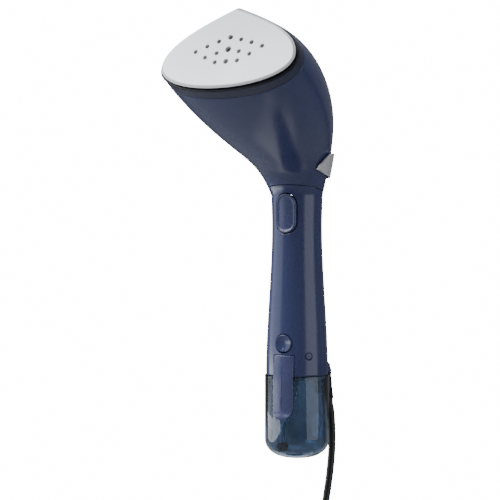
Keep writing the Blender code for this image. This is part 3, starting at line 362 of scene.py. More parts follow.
def plateMaterial(name):
    # pale satin coating with painted shade that darkens it towards the tip, a very fine spray texture and faint rub
    # marks
    material, tree, shader = startMaterial(name)
    where = addNode(tree, "TexCoord")
    spray = addNode(tree, "TexNoise", in_Scale=3800, in_Detail=2)
    cloud = addNode(tree, "TexNoise", in_Scale=26, in_Detail=3)
    shade = addNode(tree, "MapRange", in_From_Min=0.3, in_From_Max=0.75, in_To_Min=0.30, in_To_Max=0.40)
    parts = addNode(tree, "SeparateXYZ")
    # painted shade: by height the colour falls from pale grey to a darker grey at the tip
    height = addNode(tree, "MapRange", in_From_Min=0.140, in_From_Max=0.200)
    mix = addNode(tree, "Mix", data_type="RGBA")
    setSockets(mix, A=(0.68, 0.68, 0.675, 1), B=(0.40, 0.41, 0.425, 1))
    worn = useGroup(tree, fineWear, Rubbed=(0.50, 0.51, 0.52, 1), Amount=0.10, Size=420)
    bump = addNode(tree, "Bump", in_Strength=0.10, in_Distance=0.0002)
    wire(tree, (where, "Object", spray, "Vector"), (where, "Object", cloud, "Vector"),
         (where, "Object", parts, "Vector"), (parts, "Z", height, "Value"), (height, "Result", mix, "Factor"),
         (mix, "Result", worn, "Base"), (worn, "Color", shader, "Base Color"), (cloud, "Fac", shade, "Value"),
         (shade, "Result", shader, "Roughness"), (spray, "Fac", bump, "Height"), (bump, "Normal", shader, "Normal"))
    setSockets(shader, Metallic=0.25)
    return material


def smokeMaterial(name, tint, rough):
    # clear tinted plastic with faint flow lines
    material, tree, shader = startMaterial(name)
    where = addNode(tree, "TexCoord")
    flow = addNode(tree, "TexNoise", in_Scale=60, in_Detail=2)
    level = addNode(tree, "MapRange", in_To_Min=rough[0], in_To_Max=rough[1])
    bump = addNode(tree, "Bump", in_Strength=0.04, in_Distance=0.001)
    worn = wornColour(tree, tint, [min(1, c * 1.3) for c in tint], Amount=0.2, Size=200)
    wire(tree, (where, "Object", flow, "Vector"), (flow, "Fac", level, "Value"), (flow, "Fac", bump, "Height"),
         (worn, "Color", shader, "Base Color"), (level, "Result", shader, "Roughness"),
         (bump, "Normal", shader, "Normal"))
    setSockets(shader, Transmission_Weight=1, IOR=1.49)
    return material


navy = plasticMaterial("navyGloss", (0.036, 0.044, 0.112), (0.048, 0.057, 0.132), (0.16, 0.24), peel=420, depth=0.03)
controlNavy = plasticMaterial("controlSatin", (0.050, 0.057, 0.130), (0.062, 0.070, 0.148), (0.24, 0.32), peel=420,
                              depth=0.03)
darkNavy = plasticMaterial("collarSatin", (0.020, 0.024, 0.052), (0.030, 0.034, 0.066), (0.30, 0.42))
silver = plasticMaterial("silverPaint", (0.60, 0.60, 0.59), (0.70, 0.70, 0.69), (0.26, 0.36), peel=2600, depth=0.06,
                         metallic=0.4, wear=0.2)
rubber = plasticMaterial("softRubber", (0.004, 0.0045, 0.008), (0.012, 0.012, 0.014), (0.5, 0.65), depth=0.1, ior=1.3)
blackPlastic = plasticMaterial("blackPlastic", (0.008, 0.008, 0.009), (0.02, 0.02, 0.02), (0.32, 0.45), depth=0.08)
whiteNylon = plasticMaterial("whiteNylon", (0.62, 0.62, 0.58), (0.7, 0.7, 0.68), (0.35, 0.5), depth=0.05)
silicone = plasticMaterial("paleSilicone", (0.45, 0.50, 0.52), (0.55, 0.6, 0.62), (0.3, 0.4), depth=0.04)
cordPvc = plasticMaterial("cordPvc", (0.0022, 0.0022, 0.0024), (0.02, 0.02, 0.02), (0.38, 0.5), peel=1500,
                          depth=0.12, wear=0.15)
lens = plasticMaterial("litLens", (0.075, 0.085, 0.26), (0.14, 0.16, 0.4), (0.08, 0.16), depth=0, wear=0.3)
setSockets(lens.node_tree.nodes["Principled BSDF"], Emission_Color=(0.25, 0.4, 1, 1), Emission_Strength=0.04)
steel = metalMaterial("turnedSteel", (0.58, 0.58, 0.57), (0.42, 0.41, 0.40), (0.2, 0.38))
cast = castMaterial("castAluminium", (0.52, 0.52, 0.53), (0.36, 0.36, 0.37))
winding = windingMaterial("copperWinding")
board = boardMaterial("solderMask")
plateCoat = plateMaterial("plateCoating")
smoke = smokeMaterial("smokedClear", (0.28, 0.38, 0.52), (0.02, 0.05))
print("materials made:", len(bpy.data.materials))

# the mains cord: a stretch that hangs from the strain relief, then a tied hank, then the plug
cordFacts = {"radius": 0.0031, "angle": radians(68), "exitOut": 0.0352, "exitZ": -0.0970, "endOut": 0.0290,
             "bow": ((0.0370, -0.1090), (0.0381, -0.1240), (0.0379, -0.1390), (0.0366, -0.1520), (0.0343, -0.1660),
                     (0.0314, -0.1800)),
             "length": 2.13}
hank = {"top": -0.1930, "height": 0.126, "width": 0.056, "pitch": 0.00625, "layers": 5}


def cordRoute(c, h):
    way = Vector((cos(c["angle"]), sin(c["angle"]), 0))
    outer = h["width"] / 2 - h["pitch"] / 2
    inner = outer - h["pitch"]
    middle = way * c["endOut"] - Vector((outer, 2 * h["pitch"], 0))
    high, low = h["top"] - h["width"] / 2, h["top"] - h["height"] + h["width"] / 2
    lead = [way * c["exitOut"] + Vector((0, 0, c["exitZ"] + 0.0012)),
            way * c["exitOut"] + Vector((0, 0, c["exitZ"] - 0.0040))]
    lead += [way * out + Vector((0, 0, z)) for out, z in c["bow"]]
    lead += [way * c["endOut"] + Vector((0, 0, z)) for z in (h["top"] - 0.0040, h["top"] - 0.0150, high)]
    line = smoothLine(lead, 4)
    downs = [(outer, 5), (inner, 4), (inner, 3), (inner, 2), (inner, 1), (outer, 2), (outer, 3), (outer, 4)]
    ups = [(inner, 5), (inner, 4), (inner, 3), (inner, 2), (outer, 1), (outer, 2), (outer, 3)]

    def place(x, layer, z):
        return middle + Vector((x, (layer - 3) * h["pitch"], z))

    def straight(x, layer, start, end):
        return [place(x, layer, start + (end - start) * k / 4) for k in range(1, 5)]

    def bend(x, layer, nextX, nextLayer, z, way):
        reach = (x - nextX) / 2
        return [place((x + nextX) / 2 + reach * cos(pi * k / 14), layer + (nextLayer - layer) * smoothStep(k / 14),
                      z + way * abs(reach) * sin(pi * k / 14)) for k in range(1, 15)]

    for turn, (down, downLayer) in enumerate(downs):
        line += straight(down, downLayer, high, low)
        if turn == len(ups):
            break
        up, upLayer = ups[turn]
        line += bend(down, downLayer, -up, upLayer, low, -1)
        line += straight(-up, upLayer, low, high)
        line += bend(-up, upLayer, *downs[turn + 1], high, 1)
    plugTop = place(outer, 4, low - 0.0190)
    line.append(place(outer, 4, low - 0.0100))
    line.append(plugTop - Vector((0, 0, 0.0030)))
    return line, middle + Vector((0, 0, h["top"] - h["height"] / 2)), plugTop


route, hankMiddle, plugTop = cordRoute(cordFacts, hank)
cord = linePiece("mainsCord", route, cordFacts["radius"], sides=4)
finishPiece(cord, cordPvc, "handle", ("cord", "cord_hank"), smooth=0)
print("cord laid, points:", len(route))

# the outer surface that the shells, collar, slider and controls share
grip = {"neckR": 0.0205, "waistR": 0.0200, "baseR": 0.0248, "neckZ": 0.0672, "waistZ": 0.0440, "baseZ": -0.0750,
        "wall": 0.0024, "seamZ": 0.0715, "seamSlope": 0.17, "gap": 0.0003, "runGap": 0.0005}
head = {"at": Vector((0, -0.110, 0.1685)), "lean": radians(21.2), "halfW": 0.0554, "widest": -0.0088, "tip": 0.0346,
        "foot": 0.0306, "backRise": 0.103, "backEnd": 0.004, "frontRise": 0.026, "frontEnd": 0.091,
        "frontAngle": radians(37), "near": 0.043, "far": 0.061, "power": 4, "margin": 0.0014}
plateUp = Vector((0, sin(head["lean"]), cos(head["lean"])))
plateOut = Vector((0, -cos(head["lean"]), sin(head["lean"])))
plateFrame = Matrix.Translation(head["at"]) @ Matrix(((1, 0, 0, 0), (0, plateUp.y, plateOut.y, 0),
                                                      (0, plateUp.z, plateOut.z, 0), (0, 0, 0, 1)))
gasketFace, collarFace, housingFace = 0.0029, 0.0042, 0.0111
around = 144
cordWay = Vector((cos(cordFacts["angle"]), sin(cordFacts["angle"]), 0))


def bezier(points, u):
    a, b, c, d = points
    v = 1 - u
    return a * v ** 3 + b * (3 * u * v * v) + c * (3 * u * u * v) + d * u ** 3


def gripRadius(z):
    if z > grip["waistZ"]:
        return grip["waistR"] + (grip["neckR"] - grip["waistR"]) * smoothStep(
            (z - grip["waistZ"]) / (grip["neckZ"] - grip["waistZ"]))
    return grip["waistR"] + (grip["baseR"] - grip["waistR"]) * smoothStep(
        (grip["waistZ"] - z) / (grip["waistZ"] - grip["baseZ"]))


def plateOutline(count):
    w, widest = head["halfW"], head["widest"]
    top = [Vector(p) for p in ((0, head["tip"]), (0.0280, 0.0224), (w, 0.0088), (w, widest))]
    low = [Vector(p) for p in ((w, widest), (w, -0.0224), (0.0304, -head["foot"]), (0, -head["foot"]))]
    quarter = count // 4
    half = [bezier(top, i / quarter) for i in range(quarter)] + [bezier(low, i / quarter) for i in range(quarter + 1)]
    return half + [Vector((-p.x, p.y)) for p in half[-2:0:-1]]


outline = plateOutline(around)


def plateRing(inset, depth):
    ring = []
    for p in outline:
        reach = head["tip"] if p.y > 0 else head["foot"]
        ring.append(plateFrame @ Vector((p.x * (1 - inset / head["halfW"]), p.y * (1 - inset / reach), -depth)))
    return ring


def headPoint(s, i, inset=0.0):
    # the head's surface at a share s of the way from neck to plate, in column i
    face = head["at"] - plateOut * collarFace
    tip = face + plateUp * (head["tip"] + head["margin"])
    foot = face - plateUp * (head["foot"] + head["margin"])
    up = Vector((0, 0, 1))
    backStart, frontStart = Vector((0, grip["neckR"], grip["neckZ"])), Vector((0, -grip["neckR"], grip["neckZ"]))
    frontWay = Vector((0, -cos(head["frontAngle"]), sin(head["frontAngle"])))
    back = bezier((backStart, backStart + up * head["backRise"], tip + Vector((0, head["backEnd"], 0)), tip), s)
    front = bezier((frontStart, frontStart + up * head["frontRise"], foot - frontWay * head["frontEnd"], foot), s)
    halfW = bezier((grip["neckR"], head["near"], head["far"], head["halfW"] + head["margin"]), s) - inset
    middle, rise = (back + front) / 2, (back - front) / 2
    rise = rise * ((rise.length - inset) / rise.length)
    mid, half = (head["tip"] - head["foot"]) / 2, (head["tip"] + head["foot"]) / 2
    blend, turn, p = s ** head["power"], 2 * pi * i / around, outline[i % around]
    side = sin(turn) * (1 - blend) + p.x / head["halfW"] * blend
    height = cos(turn) * (1 - blend) + (p.y - mid) / half * blend
    return middle + Vector((halfW * side, 0, 0)) + rise * height


def bodyPoint(u, i, inset=0.0):
    # u runs from 0 at the foot of the grip to 1 at the neck and 2 behind the plate
    if u > 1:
        return headPoint(u - 1, i, inset)
    z = grip["baseZ"] + (grip["neckZ"] - grip["baseZ"]) * u
    r, turn = gripRadius(z) - inset, 2 * pi * i / around
    return Vector((r * sin(turn), r * cos(turn), z))


def crossing(i, at, way, low, high):
    # where column i passes through a plane
    for step in range(26):
        middle = (low + high) / 2
        if (bodyPoint(middle, i) - at).dot(way) > 0:
            high = middle
        else:
            low = middle
    return (low + high) / 2


seamWay = Vector((0, grip["seamSlope"], 1)).normalized()
seamAt = Vector((0, 0, grip["seamZ"]))
seamU = {way: [crossing(i, seamAt + seamWay * way * grip["gap"] / 2, seamWay, 0.9, 1.3) for i in range(around)]
         for way in (-1, 1)}


def planeU(depth):
    at = head["at"] - plateOut * depth
    return [crossing(i, at, plateOut, 1.5, 2.0) for i in range(around)]


def bodySheet(name, startU, endU, rows, columns=None, inset=0.0):
    # rows of points laid evenly between two edges of the surface
    columns = columns or range(around)
    rings = []
    for j in range(rows + 1):
        share = j / rows
        rings.append([bodyPoint(startU[i % around] * (1 - share) + endU[i % around] * share, i, inset)
                      for i in columns])
    return gridPiece(name, rings, loop=len(columns) == around, caps=False)


def block(name, low, high):
    low, high = Vector(low), Vector(high)
    bpy.ops.object.select_all(action="DESELECT")
    bpy.ops.mesh.primitive_cube_add(size=1, location=(low + high) / 2, scale=high - low)
    piece = named(name)
    placed()
    return piece


def turned(name, profile, steps=48, facing=None):
    # a disc extruded and scaled from ring to ring, so both of its ends are closed
    radius, height = profile[0]
    bpy.ops.object.select_all(action="DESELECT")
    bpy.ops.mesh.primitive_circle_add(vertices=steps, radius=radius, fill_type="NGON", location=(0, 0, height))
    piece = named(name)
    editAll()
    for (r0, z0), (r1, z1) in zip(profile, profile[1:]):
        bpy.ops.mesh.extrude_region_move(TRANSFORM_OT_translate={"value": (0, 0, z1 - z0)})
        bpy.ops.transform.resize(value=(r1 / r0, r1 / r0, 1), center_override=(0, 0, z1))
    bpy.ops.mesh.select_all(action="SELECT")
    bpy.ops.mesh.normals_make_consistent(inside=False)
    objectMode()
    if facing:
        piece.matrix_world = facing @ piece.matrix_world
    onlySelect(piece)
    placed()
    return piece


def standing(axis, at=(0, 0, 0)):
    return Matrix.Translation(at) @ Vector(axis).to_track_quat("Z", "Y").to_matrix().to_4x4()


def join(pieces, name):
    bpy.ops.object.select_all(action="DESELECT")
    for piece in pieces:
        piece.select_set(True)
    bpy.context.view_layer.objects.active = pieces[0]
    bpy.ops.object.join()
    return named(name)


def ringSolid(name, rings):
    # closed round both ways
    return gridPiece(name, rings + [rings[0]], caps=False)


def onGrip(x, z, off):
    r = gripRadius(z) + off
    return Vector((x, -sqrt(r * r - x * x), z))


def padRings(shape, surface, steps):
    # steps are (inset, offset from the surface); shape(inset) gives the outline at that inset
    return [[surface(x, z, off) for x, z in shape(inset)] for inset, off in steps]


# shells of the grip, split left to right
shellFacts = {"rows": 96, "rim": 0.00035}


def makeShells(f):
    quarter = around // 4
    made = []
    for name, first, way in (("frontShell", quarter, -1), ("rearShell", 3 * quarter, 1)):
        columns = list(range(first, first + 2 * quarter + 1))
        sheet = bodySheet(name, [0] * around, seamU[-1], f["rows"], columns)
        for v in sheet.data.vertices:
            if v.co.y * way < grip["gap"] / 2:
                v.co.y = way * grip["gap"] / 2
        thicken(sheet, grip["wall"])
        roundRims(sheet, f["rim"])
        made.append(sheet)
    return made


frontShell, rearShell = makeShells(shellFacts)
print("grip shells made")


# controls on the front of the grip
def slotShape(halfW, halfL, z, count=16):
    straight = halfL - halfW
    def shape(inset):
        w = max(halfW - inset, 0.0002)
        points = []
        for i in range(count + 1):
            a = pi * i / count
            points.append((w * cos(a), straight + w * sin(a)))
        points = points + [(-x, -y) for x, y in points]
        rows = []
        for (x0, y0), (x1, y1) in zip(points, points[1:] + points[:1]):
            long = abs(y1 - y0) > 0.004
            for k in range(12 if long else 1):
                t = k / (12 if long else 1)
                rows.append((x0 + (x1 - x0) * t, z + y0 + (y1 - y0) * t))
        return rows
    return shape


def softCutter(name, shape, surface, grow, soft):
    # follows the surface and flares at its face, so that the opening gets a soft edge
    steps = [(-grow - soft, 0.0012), (-grow - soft, 0.00002), (-grow - soft * 0.3, -soft * 0.3), (-grow, -soft),
             (-grow, -0.0060)]
    return gridPiece(name, padRings(shape, surface, steps))


pinBoreR, pinBoreHalf = 0.0015, 0.01
triggerFacts = {"z": 0.0528, "w": 0.0170, "l": 0.0310, "proud": 0.0012, "thick": 0.0028, "soft": 0.0004,
                "extraGap": 0.00025, "inside": -0.0195, "lugHalfW": 0.0050, "lugHalfH": 0.0022, "stemZ": 0.0420,
                "stemHalf": 0.0015, "stemFront": -0.0170,
                "face": ((0, 0.0009), (0.0001, 0.0005), (0.0004, 0.0001), (0.0008, 0), (0.0011, 0.00005),
                         (0.0015, 0.0003), (0.0021, 0.0006), (0.0030, 0.0008), (0.0045, 0.0009), (0.0065, 0.0009),
                         (0.0080, 0.0009))}
triggerPivot = Vector((0, -0.0150, 0.0640))


def pinBore(name, pivot):
    return turned(name, ((pinBoreR, -pinBoreHalf), (pinBoreR, pinBoreHalf)), 24, standing((1, 0, 0), pivot))


def makeTrigger(shell, t):
    shape = slotShape(t["w"] / 2, t["l"] / 2, t["z"])
    boolean(shell, softCutter("triggerWindow", shape, onGrip, grip["runGap"] + t["extraGap"], t["soft"]))
    back = t["proud"] - t["thick"]
    # the back and its edge, then the rounded rim and the dished face
    steps = [(0.0080, back), (0.0040, back), (0.0004, back), (0, back + 0.0004)]
    steps += [(inset, t["proud"] - drop) for inset, drop in t["face"]]
    trigger = gridPiece("triggerKey", padRings(shape, onGrip, steps))
    halfW, halfH, stem = t["lugHalfW"], t["lugHalfH"], t["stemHalf"]
    boolean(trigger, block("triggerLug", (-halfW, t["inside"], triggerPivot.z - halfH),
                           (halfW, triggerPivot.y + halfH, triggerPivot.z + halfH)), "UNION")
    boolean(trigger, block("triggerStem", (-stem, t["inside"], t["stemZ"] - stem),
                           (stem, t["stemFront"], t["stemZ"] + stem)), "UNION")
    boolean(trigger, pinBore("triggerBore", triggerPivot))
    return finishPiece(trigger, controlNavy, "trigger", ("trigger",), smooth=40)


makeTrigger(frontShell, triggerFacts)

buttonFacts = {"z": -0.0492, "r": 0.0070, "thick": 0.0034, "stem": 0.0056, "stemR": 0.0020, "dish": 0.0012,
               "soft": 0.0005, "lightDrop": 0.0047, "lightR": 0.0010,
               "face": ((0, 0.0008), (0.0002, 0.0003), (0.0006, 0), (0.0011, 0.0001), (0.0018, 0.0004),
                        (0.0028, 0.0007), (0.0042, 0.0010))}


def makeButton(shell, b):
    radius = gripRadius(b["z"])
    place = Vector((0, 0, b["z"]))
    facing = standing((0, -1, 0), place)
    lightFacing = standing((0, -1, 0), place - Vector((0, 0, b["lightDrop"])))
    soft, hole = b["soft"], b["r"] + grip["runGap"]
    cutter = turned("buttonHole", ((hole, 0.010), (hole, radius - 0.0014), (hole + soft * 0.3, radius - 0.0007),
                                   (hole + soft, radius + 0.0004), (hole + soft, 0.040)), 64, facing)
    boolean(shell, cutter)
    face, r = radius + 0.0001, b["r"]
    back = radius - b["thick"]
    profile = [(b["stemR"], back - b["stem"]), (b["stemR"], back), (r - 0.0003, back), (r, back + 0.0003)]
    profile += [(r - inset, face - drop) for inset, drop in b["face"]]
    profile += [(0.0012, face - b["dish"]), (0.0003, face - b["dish"])]
    button = turned("powerKey", profile, 64, facing)
    lightR = b["lightR"]
    seatR = lightR + grip["gap"]
    boolean(button, turned("lightSeat", ((seatR, face - 0.0022), (seatR, face + 0.002)), 32, lightFacing))
    finishPiece(button, navy, "power_button", ("power_button",), smooth=40)
    light = turned("powerLens", ((lightR, face - 0.0019), (lightR, face - 0.0007), (lightR - 0.0002, face - 0.0005),
                                 (lightR - 0.0006, face - 0.0004)), 32, lightFacing)
    finishPiece(light, lens, "power_button", ("power_light",), smooth=50)


makeButton(frontShell, buttonFacts)

latchFacts = {"top": -0.0585, "foot": -0.1090, "halfW": 0.0087, "thick": 0.0020, "r": 0.0266, "flareZ": -0.0800,
              "lip": 0.0016, "lipZ": -0.1030, "lipRun": 0.004, "lugHalfW": 0.0050, "lugHalfH": 0.0024,
              "lugBack": -0.0235, "dots": ((-0.0852, 0.00035), (-0.0904, 0.00030))}
latchPivot = Vector((0, -0.0190, -0.0660))


def latchRadius(z):
    top = gripRadius(latchFacts["top"]) + 0.0003
    return top + (latchFacts["r"] - top) * smoothStep(
        (latchFacts["top"] - z) / (latchFacts["top"] - latchFacts["flareZ"]))


def onLatch(x, z, off):
    r = latchRadius(z) + off
    if off > -0.0007:
        r += latchFacts["lip"] * smoothStep((latchFacts["lipZ"] - z) / latchFacts["lipRun"])
    return Vector((x, -sqrt(r * r - x * x), z))


def latchShape(foot=0.0):
    def shape(inset):
        f = latchFacts
        w = max(f["halfW"] - inset, 0.0002)
        top, low = f["top"] - inset + foot, f["foot"] + f["halfW"]
        points = [(w - 2 * w * k / 12, top) for k in range(12)]
        points += [(-w, top + (low - top) * k / 24) for k in range(24)]
        points += [(w * cos(pi + pi * k / 24), low + w * sin(pi + pi * k / 24)) for k in range(24)]
        return points + [(w, low + (top - low) * k / 24) for k in range(24)]
    return shape


def latchVolume(name, grow, inner, outer, foot=0.0):
    # the latch's outline as a closed block that follows its curve, with its ends faced by rings
    shape = latchShape(foot)
    insets = [8e-3, 6e-3, 4e-3, 2e-3, 0, -grow]
    steps = [(k, outer) for k in insets] + [(k, inner) for k in reversed(insets)]
    return gridPiece(name, padRings(shape, onLatch, steps))


def makeLatch(shell, f):
    boolean(shell, latchVolume("latchSlot", grip["runGap"], -0.006, 0.006))
    shape = latchShape()
    t = f["thick"]
    steps = [(0.0085, -t), (0.0060, -t), (0.0030, -t), (0.0004, -t), (0, -t + 0.0004), (0, -0.0006), (0.0001, -0.0003),
             (0.0003, -0.0001), (0.0006, 0), (0.0012, 0), (0.0030, 0), (0.0050, 0), (0.0070, 0), (0.0085, 0)]
    latch = gridPiece("tankLatch", padRings(shape, onLatch, steps))
    halfW, halfH = f["lugHalfW"], f["lugHalfH"]
    boolean(latch, block("latchLug", (-halfW, f["lugBack"], latchPivot.z - halfH),
                         (halfW, latchPivot.y + halfH, latchPivot.z + halfH)), "UNION")
    boolean(latch, pinBore("latchBore", latchPivot))
    for z, r in f["dots"]:
        dot = turned("latchDot", ((r, 0.0262), (r * 1.3, 0.028)), 16, standing((0, -1, 0), (0, 0, z)))
        boolean(latch, dot)
    finishPiece(latch, controlNavy, "tank_latch", ("tank_latch",), smooth=40)


makeLatch(frontShell, latchFacts)

capFacts = {"r": 0.0028, "z": -0.0592, "angle": radians(-41), "sink": 0.0016}


def makeCaps(shell, c):
    for way, side in ((-1, "left"), (1, "right")):
        radius = gripRadius(c["z"])
        out = Vector((way * cos(c["angle"]), sin(c["angle"]), 0))
        facing = standing(out, Vector((0, 0, c["z"])) + out * radius)
        seatR = c["r"] + grip["gap"]
        seat = turned("capSeat", ((seatR, -c["sink"]), (seatR, -0.0004), (seatR + 0.0002, 0.0001),
                                  (seatR + 0.0003, 0.004)), 48, facing)
        boolean(shell, seat)
        base = -c["sink"] + grip["gap"]
        cap = turned("screwCap" + side.capitalize(),
                     ((c["r"], base), (c["r"], base + 0.0007), (c["r"] - 0.0001, base + 0.0009),
                      (c["r"] - 0.0004, base + 0.0011), (c["r"] - 0.0010, base + 0.0012), (0.0009, base + 0.0012),
                      (0.0007, base + 0.0008), (0.0003, base + 0.0008)), 48, facing)
        finishPiece(cap, navy, "handle", ("screw_cap_" + side,), smooth=40)


makeCaps(frontShell, capFacts)
print("controls made")

bossFacts = {"reach": ((-0.0545, 0.0228), (-0.0560, 0.0240), (-0.0600, 0.0266), (-0.0650, 0.0308), (-0.0700, 0.0345),
                       (-0.0750, 0.0363)), "half": 0.0043, "out": 0.0320, "socketR": 0.0037, "socketL": 0.0070}


def makeCordBoss(shell, b):
    rings = []
    inner = grip["baseR"] - grip["wall"] / 2
    side = Vector((-cordWay.y, cordWay.x, 0))
    heights = [Vector((z, reach, 0)) for z, reach in b["reach"]]
    for z, reach, _ in smoothLine(heights, 4):
        half = max(min(b["half"], reach - inner + 0.001), 0.0006)
        ring = []
        for i in range(33):
            a = pi * i / 32 - pi / 2
            ring.append((reach - half + half * cos(a), half * sin(a)))
        ring += [(inner - 0.0004, half), (inner - 0.0004, -half)]
        rings.append([cordWay * a + side * c + Vector((0, 0, z)) for a, c in ring])
    boolean(shell, gridPiece("cordBoss", rings), "UNION")
    socket = ((b["socketR"], grip["baseZ"] - 0.01), (b["socketR"], grip["baseZ"] + b["socketL"]))
    boolean(shell, turned("cordSocket", socket, 48, Matrix.Translation(cordWay * b["out"])))


makeCordBoss(rearShell, bossFacts)
for shell, name in ((frontShell, "handle_front_shell"), (rearShell, "handle_rear_shell")):
    finishPiece(shell, navy, "handle", (name,), smooth=35)
print("openings cut")


# head
housingFacts = {"rows": 100, "rim": 0.00035, "inside": Vector((0, -0.05, 0.14)),
                "slot": ((-0.0022, 0.0080, 0.0840), (0.0022, 0.0300, 0.0965))}
collarFacts = {"rows": 8, "rim": 0.0006, "inside": 0.01}
gasketFacts = {"out": 0.0017, "thick": 0.0010, "soft": 0.0002}


def makeHousing(f):
    housing = bodySheet("headHousing", seamU[1], planeU(housingFace), f["rows"])
    thicken(housing, grip["wall"], f["inside"])
    roundRims(housing, f["rim"])
    boolean(housing, block("sliderSlot", *f["slot"]))
    finishPiece(housing, navy, "handle", ("head_housing",))


def makeCollar(f):
    collar = bodySheet("heatCollar", planeU(housingFace - grip["gap"]), [2.0] * around, f["rows"])
    thicken(collar, grip["wall"], head["at"] - plateOut * f["inside"])
    roundRims(collar, f["rim"], segments=3)
    finishPiece(collar, darkNavy, "handle", ("heat_collar",))


def makeGasket(f):
    edge, soft, back = -f["out"], f["soft"], gasketFace + f["thick"]
    rings = [plateRing(edge + soft, gasketFace), plateRing(edge, gasketFace + soft), plateRing(edge, back - soft),
             plateRing(edge + soft, back), plateRing(grip["wall"], back), plateRing(grip["wall"], gasketFace)]
    finishPiece(ringSolid("plateGasket", rings), rubber, "handle", ("plate_gasket",), smooth=40)


plateFacts = {"thick": 0.0026, "bevel": 0.0019, "drop": 0.0007, "holeR": 0.0014, "middleR": 0.0021, "axisR": 0.0017,
              "pitch": 0.0092, "rows": ((0.0099, 3, 0.0029), (0.0, 2, 0.0026), (-0.0098, 1, 0.0)), "flare": 0.0004}


def makePlate(p):
    rings = [plateRing(0.02, p["thick"]), plateRing(0.0016, p["thick"]), plateRing(0.0012, p["thick"] - 0.0003),
             plateRing(0.0002, 0.0012), plateRing(0, 0.0010), plateRing(0.0003, p["drop"] + 0.00005),
             plateRing(p["bevel"] - 0.0003, 0.0001), plateRing(p["bevel"], 0.00002), plateRing(p["bevel"] + 0.0004, 0),
             plateRing(0.02, 0)]
    plate = gridPiece("steamPlate", rings)
    holes = []
    for height, side, drop in p["rows"]:
        holes.append((0, height, p["middleR"] if height == 0 else p["axisR"]))
        for i in range(1, side + 1):
            fall = drop * i * (0.8 + 0.1 * i)
            holes += [(way * i * p["pitch"], height - fall, p["holeR"]) for way in (-1, 1)]
    cutters = [turned("steamHole", ((r, -0.006), (r, -p["flare"] * 1.6), (r + p["flare"] * 0.25, -p["flare"] * 0.8),
                                    (r + p["flare"], 0.00001), (r + p["flare"], 0.002)), 32,
                      plateFrame @ Matrix.Translation((x, up, 0))) for x, up, r in holes]
    boolean(plate, join(cutters, "steamHoles"))
    finishPiece(plate, plateCoat, "handle", ("steam_plate",), smooth=30)


sliderFacts = {"low": 0.0810, "thick": 0.0026, "voxel": 0.00035, "first": 0.04, "last": 0.42, "stemZ": 0.0900,
               "stemH": 0.0055, "stemW": 0.0032, "stemFrom": 0.0125, "stemTo": 0.0205, "short": 0.0140,
               "extraGap": 0.0005}


def makeSlider(f):
    # a band round the neck, cut to its side outline, with its left wing ending further back
    runGap, count = grip["runGap"], 40
    rings = []
    for off in (runGap + f["thick"], runGap + f["extraGap"]):
        rows = [[bodyPoint(1 + f["first"] + (f["last"] - f["first"]) * j / count, i, -off) for i in range(around)]
                for j in range(count + 1)]
        rings += rows if off > f["thick"] else rows[::-1]
    band = ringSolid("lockSlider", rings)
    low = f["low"]
    side = ((-0.0193, low + 0.0054), (-0.0204, low + 0.0095), (-0.0190, low + 0.0145), (-0.0150, low + 0.0180),
            (0.0110, low + 0.0195), (0.0260, low + 0.0250), (0.0260, low), (0.0080, low + 0.0002),
            (-0.0069, low + 0.0018))
    short = [(y + f["short"] if y < 0 else y, z) for y, z in side]
    wedge = gridPiece("sliderSide", [[Vector((x, y, z)) for y, z in half]
                                     for x, half in ((-0.05, short), (-0.0001, short), (0.0001, side), (0.05, side))])
    boolean(band, wedge, "INTERSECT")
    applyModifier(band, "REMESH", mode="VOXEL", voxel_size=f["voxel"], use_smooth_shade=True)
    applyModifier(band, "SMOOTH", factor=0.5, iterations=16)
    boolean(band, block("sliderStem", (-f["stemW"] / 2, f["stemFrom"], f["stemZ"]),
                        (f["stemW"] / 2, f["stemTo"], f["stemZ"] + f["stemH"])), "UNION")
    finishPiece(band, silver, "lock_slider", ("lock_slider",), smooth=50)


makeHousing(housingFacts)
makeCollar(collarFacts)
makeGasket(gasketFacts)
makePlate(plateFacts)
makeSlider(sliderFacts)
print("head made")

tankFacts = {"r": 0.0258, "wall": 0.0018, "foot": -0.1408, "flat": 0.0084, "round": 0.0138, "top": -0.0753,
             "neckR": 0.0070, "neckL": 0.0085, "lid": 0.0024, "boreR": 0.0045, "inlet": (-0.0080, -0.0095),
             "inletTop": 0.0117, "tubeR": 0.0020, "valve": (0.0170, 0.0040), "sealUp": 0.0040}


def tankProfile(t, inset, top):
    shoulder = t["foot"] + t["round"]
    r = t["r"] - inset
    points = [(r - 0.0002, top), (r, top - 0.0003), (r, shoulder)]
    for k in range(1, 17):
        a = pi / 2 * k / 16
        points.append((t["flat"] + (r - t["flat"]) * cos(a), shoulder - (t["round"] - inset) * sin(a)))
    return points + [(0.002, t["foot"] + inset)]


